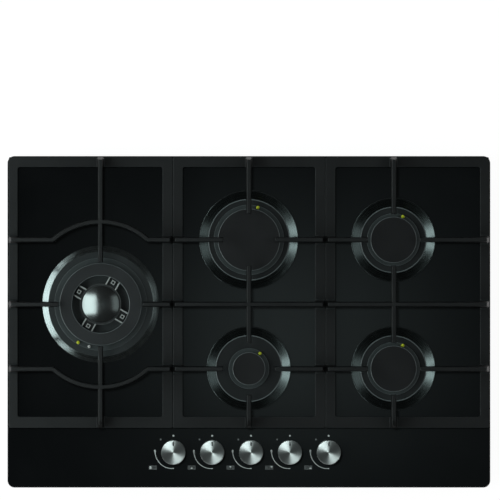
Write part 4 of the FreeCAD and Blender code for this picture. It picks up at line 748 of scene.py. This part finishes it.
# %% Dished bowls
SHEET = 0.8
LIP_TOP = GLASS_FACE + 2.0
LIP_FLAT = 1.2
DISH_FLOOR = 5.0
LIP_UNDER = 4.4
BEAD = 0.9
BEAD_OUT = 0.6
BEAD_SIDES = 10
BOWLS = {  # node, then radii of the rim, of the floor and of the hole
    "rapid": ("bowl_rapid", 77.0, 62.0, 54.8),
    "semi_rear": ("bowls_semi", 65.5, 50.0, 41.3),
    "semi_front": ("bowls_semi", 65.5, 50.0, 41.3),
    "aux": ("bowl_aux", 65.5, 50.5, 31.8),
}


def dish(name, node, rim, flat, hole):
    """A dished bowl with its lip on the glass."""
    inner_lip, under = rim - LIP_FLAT, DISH_FLOOR - SHEET
    profile = [(rim, GLASS_FACE), (rim, LIP_TOP), (inner_lip, LIP_TOP), (flat, DISH_FLOOR),
               (flat - 2, DISH_FLOOR), (hole, DISH_FLOOR), (hole, under), (flat, under),
               (rim - LIP_UNDER, GLASS_FACE)]
    soft = {(rim, LIP_TOP): 0.8, (inner_lip, LIP_TOP): 0.5, (flat, DISH_FLOOR): 0.7}
    bm = flat_faces(spun(profile, BURNERS[name], soft))
    made = piece("dish_" + name, bm, [FINISHES["bowl"], floor_enamel], BURNERS[name])
    return stand_for(made, node)


def bead(name, node, flat):
    """A round bead where the slope meets the floor."""
    out, height = flat + BEAD_OUT, DISH_FLOOR + BEAD / 2
    turns = [math.tau * step / BEAD_SIDES for step in range(BEAD_SIDES)]
    profile = [(out + BEAD * math.cos(turn), height + BEAD * math.sin(turn)) for turn in turns]
    made = piece("bead_" + name, spun(profile, BURNERS[name]), [bead_highlight_enamel], BURNERS[name])
    return stand_for(made, node)


beads = []
for name, (node, rim, flat, hole) in BOWLS.items():
    dish(name, node, rim, flat, hole)
    beads.append(bead(name, node, flat))
print("dished bowls and beads for", list(BOWLS))

# %% [markdown]
# ## The raised plate
# The big burner stands on a low cone instead of a dish.  It is spun too, with its upper corner
# rounded, and its level part gets the plain enamel.

# %% Raised plate
PLATE_RADIUS, PLATE_EDGE = 90.8, 8.8
PLATE_SHOULDER, PLATE_TOP = 81.7, 14.0
PLATE_HOLE = 50.3
under = PLATE_TOP - SHEET
profile = [(PLATE_RADIUS, GLASS_FACE), (PLATE_RADIUS, PLATE_EDGE), (PLATE_SHOULDER, PLATE_TOP),
           (80.0, PLATE_TOP), (PLATE_HOLE, PLATE_TOP), (PLATE_HOLE, under),
           (PLATE_SHOULDER - SHEET, under), (PLATE_RADIUS - 2.0, GLASS_FACE)]
soft = {(PLATE_SHOULDER, PLATE_TOP): 0.6, (PLATE_RADIUS, PLATE_EDGE): 0.4}
bm = flat_faces(spun(profile, BURNERS["wok"], soft))
made = piece("plate_wok", bm, [raised_metal, plate_enamel], BURNERS["wok"])
stand_for(made, "bowl_wok")
print("the raised plate is", 2 * PLATE_RADIUS, "mm wide")

# %% [markdown]
# ## The flat caps
# Loose pressed lids of satin enamel sit on the crowns.  The eye finds them by the fine light
# line along their rounded edge, so that edge gets a real radius, and a ring just inside it
# keeps the top flat; the enamel's lighter edge colour adds a painted highlight to that line.
# A foot below drops into the crown and keeps the cap in its place.

# %% Flat caps
CAPS = {"rapid": 48.5, "semi_rear": 36.0, "semi_front": 36.0, "aux": 25.7}
CAP_TOP, CAP_SKIRT, CAP_LOW, CAP_FOOT = 24.0, 20.5, 18.0, 15.5
FOOT_IN, FOOT_THICK = 10.0, 2.0
for name, radius in CAPS.items():
    outer = radius - FOOT_IN
    inner = outer - FOOT_THICK
    profile = [(0, CAP_TOP), (radius - 3.2, CAP_TOP), (radius, CAP_TOP), (radius, CAP_SKIRT),
               (radius - 0.6, CAP_LOW), (outer, CAP_LOW), (outer, CAP_FOOT), (inner, CAP_FOOT),
               (inner, CAP_LOW), (0, CAP_LOW)]
    soft = {(radius, CAP_TOP): 1.3, (radius, CAP_SKIRT): 0.4}
    bm = spun(profile, BURNERS[name], soft, closed=False)
    made = piece("lid_" + name, bm, [FINISHES["cap_enamel"]], BURNERS[name])
    stand_for(made, "cap_" + name)
print("flat caps:", list(CAPS))

# %% [markdown]
# ## The ring cap
# The big burner's outer flame ring has a cap with a wide hole.  Both of its upper corners are
# rounded alike, which gives it two light lines, drawn both by the rounds and by the enamel's painted edge
# highlight.

# %% Ring cap
RING_INNER, RING_OUTER = 44.4, 63.8
RING_LOW, RING_TOP = 28.0, 32.0
profile = [(RING_INNER, RING_LOW), (RING_OUTER, RING_LOW), (RING_OUTER, RING_TOP),
           (61.0, RING_TOP), (47.0, RING_TOP), (RING_INNER, RING_TOP)]
soft = {(RING_OUTER, RING_TOP): 1.1, (RING_INNER, RING_TOP): 1.1}
made = piece("lid_wok_ring", spun(profile, BURNERS["wok"], soft), [ring_enamel], BURNERS["wok"])
stand_for(made, "cap_wok_ring")
print("the ring cap is", RING_OUTER - RING_INNER, "mm across its band")

# %% [markdown]
# ## The dome
# In the middle sits a polished metal cap, a shallow part of a ball.  Its profile is an arc whose
# radius follows from how wide and how high the dome is, so the ball is never a bare number.

# %% Dome
DOME_RADIUS = 28.5
DOME_LOW = 25.5
DOME_RISE = 5.5
DOME_FOOT = 24.0
ARC_PARTS = 16
ball = (DOME_RADIUS ** 2 + DOME_RISE ** 2) / (2 * DOME_RISE)
steep = math.asin(DOME_RADIUS / ball)
profile = []
for index in range(ARC_PARTS + 1):
    angle = steep * index / ARC_PARTS
    profile.append((ball * math.sin(angle), DOME_LOW + DOME_RISE - ball * (1 - math.cos(angle))))
profile += [(DOME_RADIUS, DOME_FOOT), (0, DOME_FOOT)]
made = spun(profile, BURNERS["wok"], {(DOME_RADIUS, DOME_FOOT): 0.4}, closed=False)
dome = piece("dome_wok", made, [FINISHES["dome"]], BURNERS["wok"])
stand_for(dome, "cap_wok_dome")
print("the dome is part of a ball of radius", round(ball, 1), "mm")

# %% [markdown]
# ## Spark plugs and flame probes
# Beside each crown stand a white ceramic spark plug with a thin steel electrode and a
# flame-failure probe with a bright tip.  Each is a small profile spun about its own axis, from
# below the bowl up to its tip, with every height counted from the crown's foot.

# %% Where plugs and probes stand
STANDS = {  # reach and turn of the plug, reach and turn of the probe, height of the crown's foot
    "wok": (68.0, 254.7, 68.7, 239.5, 16.0),
    "rapid": (45.3, 124.5, 51.9, 74.5, 7.0),
    "semi_rear": (32.8, 118.0, 38.7, 68.0, 7.0),
    "semi_front": (32.8, 118.0, 38.7, 68.0, 7.0),
    "aux": (22.5, 104.0, 28.9, 54.0, 7.0),
}


def beside(name, reach, turn):
    """A place beside a burner, with its turn counted from +X against the clock."""
    x, y = BURNERS[name]
    return x + reach * math.cos(math.radians(turn)), y + reach * math.sin(math.radians(turn))


print("plugs and probes stand beside", list(STANDS))

# %% Plugs and probes
PLUG, PLUG_BOTTOM = 2.2, -16.0
WIRE = 0.8
PROBE, PROBE_TIP, PROBE_BOTTOM = 2.0, 2.7, -14.0


def insulator(name, place, base):
    """The plug's white ceramic."""
    top = base + 4
    profile = [(0, top), (1.5, top), (PLUG, top), (PLUG, base + 1), (PLUG, PLUG_BOTTOM), (0, PLUG_BOTTOM)]
    bm = spun(profile, place, {(PLUG, top): 0.5}, steps=32, closed=False)
    made = piece("insulator_" + name, bm, [FINISHES["ceramic"]], place)
    return stand_for(made, "spark_plugs")


def electrode(name, place, base):
    """The steel point that the spark jumps from."""
    profile = [(0, base + 7), (WIRE / 2, base + 7), (WIRE, base + 6.5), (WIRE, base + 2), (0, base + 2)]
    bm = spun(profile, place, steps=16, closed=False)
    made = piece("electrode_" + name, bm, [FINISHES["steel"]], place)
    return stand_for(made, "spark_plugs")


def probe(name, place, base):
    """The flame-failure probe, with a thicker tip that the flame heats."""
    shoulder = (PROBE_TIP, base + 5.8)
    profile = [(0, base + 8), (1.2, base + 7.8), (2.3, base + 7), shoulder, (PROBE_TIP, base + 4.6),
               (PROBE, base + 4), (PROBE, PROBE_BOTTOM), (0, PROBE_BOTTOM)]
    bm = spun(profile, place, {shoulder: 0.3}, steps=32, closed=False)
    made = piece("probe_" + name, bm, [FINISHES["probe"]], place)
    return stand_for(made, "thermocouples")


for name, (plug_out, plug_turn, probe_out, probe_turn, base) in STANDS.items():
    plug_place = beside(name, plug_out, plug_turn)
    insulator(name, plug_place, base)
    electrode(name, plug_place, base)
    probe(name, beside(name, probe_out, probe_turn), base)
print(3 * len(STANDS), "plug and probe pieces")

# %% [markdown]
# ## The knobs
# A knob is a spun cup: a straight side, a softened rim and a nearly flat face with a shallow
# painted groove as its pointer.  The face is filled in and inset three times, each ring a little
# higher than the last, so that its highlights fan out.  The groove is cut by slicing the face
# along its four sides and insetting the piece in the middle, which spares the rest of the face.

# %% Knob's cup
KNOB_RADIUS = 18.65
KNOB_LOW = 11.5
KNOB_TOP = 31.0
KNOB_WALL = 1.4
KNOB_FACE_THICK = 2.5
SOCKET_OUTER, SOCKET_INNER = 6.0, 3.1
FACE_RINGS = ((1.0, 0.06), (8.5, 0.34), (5.0, 0.08))
RIM_ROUND = 0.9


def knob_cup():
    """A cup with a socket for the stem, and a face that rises a little to its middle."""
    inside, face_under, foot = KNOB_RADIUS - KNOB_WALL, KNOB_TOP - KNOB_FACE_THICK, KNOB_LOW + 1
    profile = [(KNOB_RADIUS, KNOB_TOP), (KNOB_RADIUS, foot), (KNOB_RADIUS - 0.4, KNOB_LOW),
               (inside, KNOB_LOW), (inside, face_under), (SOCKET_OUTER, face_under),
               (SOCKET_OUTER, foot), (SOCKET_INNER, foot)]
    bm = spun(profile, (0, 0), steps=96, closed=False)
    rim = [e for e in bm.edges if e.is_boundary and e.verts[0].co.z > (KNOB_TOP - 1) * MM]
    face = bmesh.ops.edgeloop_fill(bm, edges=rim)["faces"][0]
    for width, rise in FACE_RINGS:
        bmesh.ops.inset_region(bm, faces=[face], thickness=width * MM, depth=rise * MM,
                               use_boundary=True)
    bmesh.ops.recalc_face_normals(bm, faces=bm.faces)
    bmesh.ops.bevel(bm, geom=rim, offset=RIM_ROUND * MM, segments=4, profile=0.5,
                    affect="EDGES", material=-1)
    return bm


print("a knob is", 2 * KNOB_RADIUS, "mm wide")

# %% Knobs
POINTER_HALF = 1.0
POINTER_NEAR, POINTER_FAR = 10.3, 16.4
POINTER_DEEP, POINTER_SLOPE = 0.35, 0.12
FACE_LEVEL = 0.995
pointer_paint = grainy("pointer paint", tone(26, 30, 31), tone(36, 40, 41), 0.6, 1500, 0.01)


def knob_face(bm):
    """The faces on the knob's top, with no part of its rim."""
    return [face for face in bm.faces if face.normal.z > FACE_LEVEL
            and face.calc_center_median().z > (KNOB_TOP - 0.05) * MM]


def slice_face(bm, where, way):
    """Cut the knob's face along a plane, given by how far it lies along a direction."""
    faces = knob_face(bm)
    geom = set(faces)
    for face in faces:
        geom.update(face.edges)
        geom.update(face.verts)
    bmesh.ops.bisect_plane(bm, geom=list(geom), dist=1e-7, plane_co=Vector(way) * where * MM,
                           plane_no=way)


def in_pointer(face):
    """Whether a face lies inside the pointer's four cuts."""
    middle = face.calc_center_median() / MM
    return abs(middle.x) < 0.9 * POINTER_HALF and POINTER_NEAR < middle.y < POINTER_FAR


def knob(name, centre):
    """A whole knob at its place, pointer and all."""
    bm = knob_cup()
    across, along = (1, 0, 0), (0, 1, 0)
    for where, way in ((POINTER_HALF, across), (-POINTER_HALF, across),
                       (POINTER_NEAR, along), (POINTER_FAR, along)):
        slice_face(bm, where, way)
    groove = [face for face in knob_face(bm) if in_pointer(face)]
    bmesh.ops.inset_region(bm, faces=groove, thickness=POINTER_SLOPE * MM, depth=-POINTER_DEEP * MM,
                           use_boundary=True, use_even_offset=True)
    for face in groove:
        face.material_index = 1
    bmesh.ops.translate(bm, verts=bm.verts, vec=(centre[0] * MM, centre[1] * MM, 0))
    return piece("dial_" + name, bm, [FINISHES["knob_metal"], pointer_paint], centre)


knobs = [stand_for(knob(name, knob_place(index)), "knob_" + name)
         for index, name in enumerate(KNOBS)]
print("knob faces:", [len(k.data.polygons) for k in knobs])

# %% [markdown]
# ## Return springs
# Under each collar a spring shortens as the knob is pushed.  Each is a merged copy of the CAD
# coil, put on the same body, with its shape unchanged.

# %% Springs
for index, name in enumerate(KNOBS):
    node = frame["nodes"]["spring_" + name]
    bm = bmesh.new()
    bm.from_mesh(node.data)
    bm.transform(node.matrix_world)
    bmesh.ops.remove_doubles(bm, verts=bm.verts, dist=2e-6)
    for face in bm.faces:
        face.material_index = 0
    low, high = (pick(vert.co.z for vert in bm.verts) for pick in (min, max))
    x, y = knob_place(index)
    made = piece("coil_" + name, bm, [FINISHES["steel"]], (x, y))
    stand_for(made, "spring_" + name)
    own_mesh(made)

# %% [markdown]
# ## The printing on the glass
# Round each knob are a dot at the off position, a small dot for ignition, an arc that thins
# from the large flame to the small one, and a map of the burners with one cell filled.  Ink
# has a little thickness, so each set is a thin slab that is pushed up out of a flat shape.

# %% Inks
ink = grainy("white ink", tone(168, 178, 176), tone(196, 204, 202), 0.55, 1600, 0.004)
dim_ink = grainy("grey ink", tone(92, 98, 98), tone(108, 114, 114), 0.55, 1600, 0.004)
faint_ink = grainy("dark grey ink", tone(66, 71, 71), tone(80, 86, 86), 0.55, 1600, 0.004)
print("three inks, from white to dark grey")

# %% Shape of the arc
ARC_NEAR, ARC_FAR = 82.0, 182.0
ARC_OUT, ARC_DRAWN_IN = 28.8, 3.6
ARC_STEPS = 72
LINE_START, LINE_END = 0.68, 0.42
DROP, DROP_FADE = 1.4, 4.5
DOT = 0.9


def at(turn, reach):
    """A point round the knob, with its turn counted against the clock from twelve."""
    return Vector((-math.sin(math.radians(turn)), math.cos(math.radians(turn)), 0)) * reach * MM


def half_width(way, length):
    """Half the arc's width: a drop at its start, a dot at its end and a thinning line."""
    line = LINE_START - (LINE_START - LINE_END) * way / length
    drop = DROP - (DROP - LINE_START) * min(1.0, max(0.0, way - DROP) / DROP_FADE)
    if way < DROP:
        drop = math.sqrt(max(0.0, DROP ** 2 - (DROP - way) ** 2))
        line = 0
    left = length - way
    dot = math.sqrt(max(0.0, DOT ** 2 - (DOT - left) ** 2)) if left < 2 * DOT else 0
    if left < DOT:
        line = 0
    return max(line, dot, drop if way < DROP + DROP_FADE else 0) * MM


def arc(bm):
    """A grid of one row, bent round the knob and given its width at each step."""
    length = math.radians(ARC_FAR - ARC_NEAR) * (ARC_OUT - ARC_DRAWN_IN / 2)
    made = bmesh.ops.create_grid(bm, x_segments=ARC_STEPS, y_segments=1, size=0.5)["verts"]
    for vert in made:
        along, side = vert.co.x + 0.5, vert.co.y * 2
        middle = at(ARC_NEAR + (ARC_FAR - ARC_NEAR) * along, ARC_OUT - ARC_DRAWN_IN * along)
        vert.co = middle + middle.normalized() * side * half_width(along * length, length)


print("the arc runs from", ARC_NEAR, "to", ARC_FAR, "degrees against the clock")

# %% Map of the burners
MAP_LEFT, MAP_LOW, MAP_WIDE, MAP_HIGH = -38.0, -26.8, 12.0, 6.0
MAP_LINE = 0.55
CELLS = {  # left, right, low and high, counted from the map's lower left corner
    "wok": (0.9, 3.9, 0.9, 5.1),
    "aux": (4.6, 7.4, 0.9, 2.8),
    "rapid": (4.6, 7.4, 3.2, 5.1),
    "semi_rear": (8.1, 11.1, 3.2, 5.1),
    "semi_front": (8.1, 11.1, 0.9, 2.8),
}


def flat_box(bm, x0, x1, y0, y1, shade=0):
    """A flat rectangle, from a grid of one cell."""
    made = bmesh.ops.create_grid(bm, x_segments=1, y_segments=1, size=0.5)["verts"]
    bmesh.ops.scale(bm, verts=made, vec=((x1 - x0) * MM, (y1 - y0) * MM, 1))
    bmesh.ops.translate(bm, verts=made, vec=((x0 + x1) / 2 * MM, (y0 + y1) / 2 * MM, 0))
    faces = made[0].link_faces[:]
    for face in faces:
        face.material_index = shade
    return faces


def burner_map(bm, name):
    """An outline with five cells, of which the knob's own burner is white."""
    border = flat_box(bm, MAP_LEFT, MAP_LEFT + MAP_WIDE, MAP_LOW, MAP_LOW + MAP_HIGH, 1)
    bmesh.ops.inset_region(bm, faces=border, thickness=MAP_LINE * MM, use_boundary=True,
                           use_even_offset=True)
    bmesh.ops.delete(bm, geom=border, context="FACES_ONLY")
    for cell, (x0, x1, y0, y1) in CELLS.items():
        flat_box(bm, MAP_LEFT + x0, MAP_LEFT + x1, MAP_LOW + y0, MAP_LOW + y1, 0 if cell == name else 2)


print("the map has", len(CELLS), "cells")

# %% Printing
INK_HIGH = 0.03
INK_SUNK = 0.005
DOTS = ((0, 25.6, 1.55, 0), (45, 28.0, 1.4, 1))  # turn, reach, radius and ink of each


def printing(name, centre):
    """All the marks of one knob, as one thin slab of ink."""
    bm = bmesh.new()
    for turn, reach, radius, shade in DOTS:
        made = bmesh.ops.create_circle(bm, cap_ends=True, segments=24, radius=radius * MM)["verts"]
        bmesh.ops.translate(bm, verts=made, vec=at(turn, reach))
        made[0].link_faces[0].material_index = shade
    arc(bm)
    burner_map(bm, name)
    bmesh.ops.remove_doubles(bm, verts=bm.verts, dist=2e-6)
    bmesh.ops.dissolve_degenerate(bm, edges=bm.edges, dist=1e-7)
    bmesh.ops.translate(bm, verts=bm.verts, vec=(0, 0, (GLASS_FACE - INK_SUNK) * MM))
    raised = bmesh.ops.extrude_face_region(bm, geom=bm.faces[:])["geom"]
    top = [g for g in raised if isinstance(g, bmesh.types.BMVert)]
    bmesh.ops.translate(bm, verts=top, vec=(0, 0, INK_HIGH * MM))
    bmesh.ops.recalc_face_normals(bm, faces=bm.faces)
    bmesh.ops.translate(bm, verts=bm.verts, vec=(centre[0] * MM, centre[1] * MM, 0))
    return piece("printing_" + name, bm, [ink, dim_ink, faint_ink], centre)


for index, name in enumerate(KNOBS):
    made = printing(name, knob_place(index))
    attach(made, "hob")
print("printing for", list(KNOBS))

# %% [markdown]
# ## Painted shade in the notches at the front roots
# Where a finger leaves the front bar of a pan support, the casting has a small hollow that
# narrows to the back, and shade fills it.  From above that shade is only a tone, so a mask paints
# it dark in the iron's colour: a wedge round each root, from the front of the bar to its back.

# %% Painted shade in the notches
ROOTS = (BURNERS["wok"][0], BURNERS["rapid"][0], BURNERS["semi_front"][0])
NOTCH_FRONT, NOTCH_BACK = -165.0, -152.4
NOTCH_WIDE, NOTCH_NARROW = 4.3, 1.8
notch_shade, inside, outside = new_group("front notches", {}, ("Mask",))
parts = put(notch_shade, "SeparateXYZ", {"Vector": put(notch_shade, "TexCoord").outputs["Object"]}).outputs
half = spread(notch_shade, parts["Y"], NOTCH_FRONT * MM, NOTCH_BACK * MM, NOTCH_WIDE * MM, NOTCH_NARROW * MM)
found = put(notch_shade, "Value").outputs["Value"]
found.default_value = 0.0
for x in ROOTS:
    away = put(notch_shade, "Math", {0: plus(notch_shade, parts["X"], -x * MM)}, operation="ABSOLUTE").outputs[0]
    inner = put(notch_shade, "Math", {0: away, 1: half}, operation="LESS_THAN").outputs[0]
    found = larger(notch_shade, found, inner)
short = put(notch_shade, "Math", {0: parts["Y"], 1: NOTCH_BACK * MM}, operation="LESS_THAN").outputs[0]
notch_shade.links.new(times(notch_shade, found, short), outside["Mask"])
# The wedge's near black colour is painted shade in the hollow, laid over the iron's colour.
tree = FINISHES["cast_iron"].node_tree
colour = tree.nodes["Principled BSDF"].inputs["Base Color"]
painted_root_shade = use_group(tree, notch_shade, {})["Mask"]
tree.links.new(blend(tree, painted_root_shade, colour.links[0].from_socket, (*tone(5, 6, 7), 1)), colour)
print("notches at", ROOTS)

# %% [markdown]
# ## The pan supports
# They are castings, and a casting has no knife edges: every edge is rounded by the mould and
# thickened by enamel.  So each support is a merged copy of its CAD mesh, cleaned to large flat
# faces, with a low pad added where each finger crosses a side bar, and its edges bevelled.
# Those small rounds catch the lamps as thin light lines, and the iron's own finish eases them
# once more in the light; it also paints a lighter colour on the edges as a highlight and a darker one on the
# walls as shade.

# %% Pan supports
CAST_ROUND = 0.8
EDGE_LEAST = math.radians(25)
BAR_TOP = 21.0
ROOT_ROWS = (BURNERS["rapid"][1], BURNERS["wok"][1], BURNERS["aux"][1])
ROOT_DEEP, ROOT_WIDE, ROOT_HIGH = 12.0, 14.5, 1.8
BARS = {"left": (-366.5, -127.2), "centre": (-111.2, 111.2), "right": (127.2, 366.5)}


def root_block(bm, x, y):
    """A low raised pad round the root of a finger."""
    made = bmesh.ops.create_cube(bm, size=MM)["verts"]
    bmesh.ops.scale(bm, verts=made, vec=(ROOT_DEEP, ROOT_WIDE, 2 * ROOT_HIGH))
    bmesh.ops.translate(bm, verts=made, vec=(x * MM, y * MM, BAR_TOP * MM))


for side, bars in BARS.items():
    node = frame["nodes"]["grate_" + side]
    bm = bmesh.new()
    bm.from_mesh(node.data)
    bmesh.ops.remove_doubles(bm, verts=bm.verts, dist=2e-6)
    bmesh.ops.dissolve_limit(bm, angle_limit=math.radians(1.0), verts=bm.verts, edges=bm.edges)
    for x in bars:
        for y in ROOT_ROWS:
            root_block(bm, x, y)
    edges = [e for e in bm.edges if e.is_manifold and e.calc_face_angle(0) > EDGE_LEAST]
    for face in bm.faces:
        face.material_index = 0
    bmesh.ops.bevel(bm, geom=edges, offset=CAST_ROUND * MM, segments=3, profile=0.5,
                    affect="EDGES", material=-1, clamp_overlap=True)
    made = piece("support_" + side, bm, [FINISHES["cast_iron"]])
    stand_for(made, "grate_" + side)
    print("support_" + side, len(made.data.polygons), "faces")

# %% [markdown]
# ## Lamps that reach only some pieces
# Spun metal shows a fan of light toward a lamp and a second one opposite.  On the real knobs
# the fans run from back left to front right, so they get a lamp there that reaches only them,
# and the side boxes are flagged off them, as a photographer would do with cards.  The dome has
# its own pair of boxes, wide on the left and faint on the right.  The dull castings and enamel
# are lit by a nearer box on the left, so that they darken toward the right.  The painted glow in
# the glass's colour has a lamp too, which makes no mirror image of itself.

# %% Linked lamps
def linked(name, items, state):
    """A collection that a lamp reads: it reaches only these items, or all but these."""
    made = bpy.data.collections.new(name)
    for item in items:
        made.objects.link(item)
    for link in made.collection_objects:
        link.light_linking.link_state = state
    return made


dull = [item for item in scene.objects if item.name.startswith(("support_", "lid_"))] + beads
dull += [frame["nodes"][name] for name in ("body_wok", "body_rapid", "bodies_semi", "body_aux")]
knob_lamp = lamp("knob box", 127, 24, 16, 27, 9.5)
knob_lamp.light_linking.receiver_collection = linked("only knobs", knobs, "INCLUDE")
NEAR_FAR = 1.4
near_lamp = lamp("left near box", 186, 53, 40, 56, 1.6, NEAR_FAR)
near_lamp.light_linking.receiver_collection = linked("only dull pieces", dull, "INCLUDE")
only_dome = linked("only the dome", [dome], "INCLUDE")
for dome_lamp in (lamp("dome left box", 181, 30, 34, 44, 1.8),
                  lamp("dome right box", 4, 34, 16, 34, 0.25)):
    dome_lamp.light_linking.receiver_collection = only_dome
# This lamp lights the painted glow in the glass's colour.
glass_lamp = lamp("haze box", 135, 9.5, 5, 5, 630.0)
glass_lamp.visible_glossy = False
glass_node = frame["nodes"]["glass_top"]
glass_lamp.light_linking.receiver_collection = linked("only the glass", [glass_node], "INCLUDE")
not_left = linked("not knobs, dome or dull pieces", knobs + dull + [dome], "EXCLUDE")
not_right = linked("not knobs or the dome", knobs + [dome], "EXCLUDE")
for item in key_lamps:
    item.light_linking.receiver_collection = not_left if "left" in item.name else not_right
print("the near box reaches", len(dull), "pieces and the knob box", len(knobs))
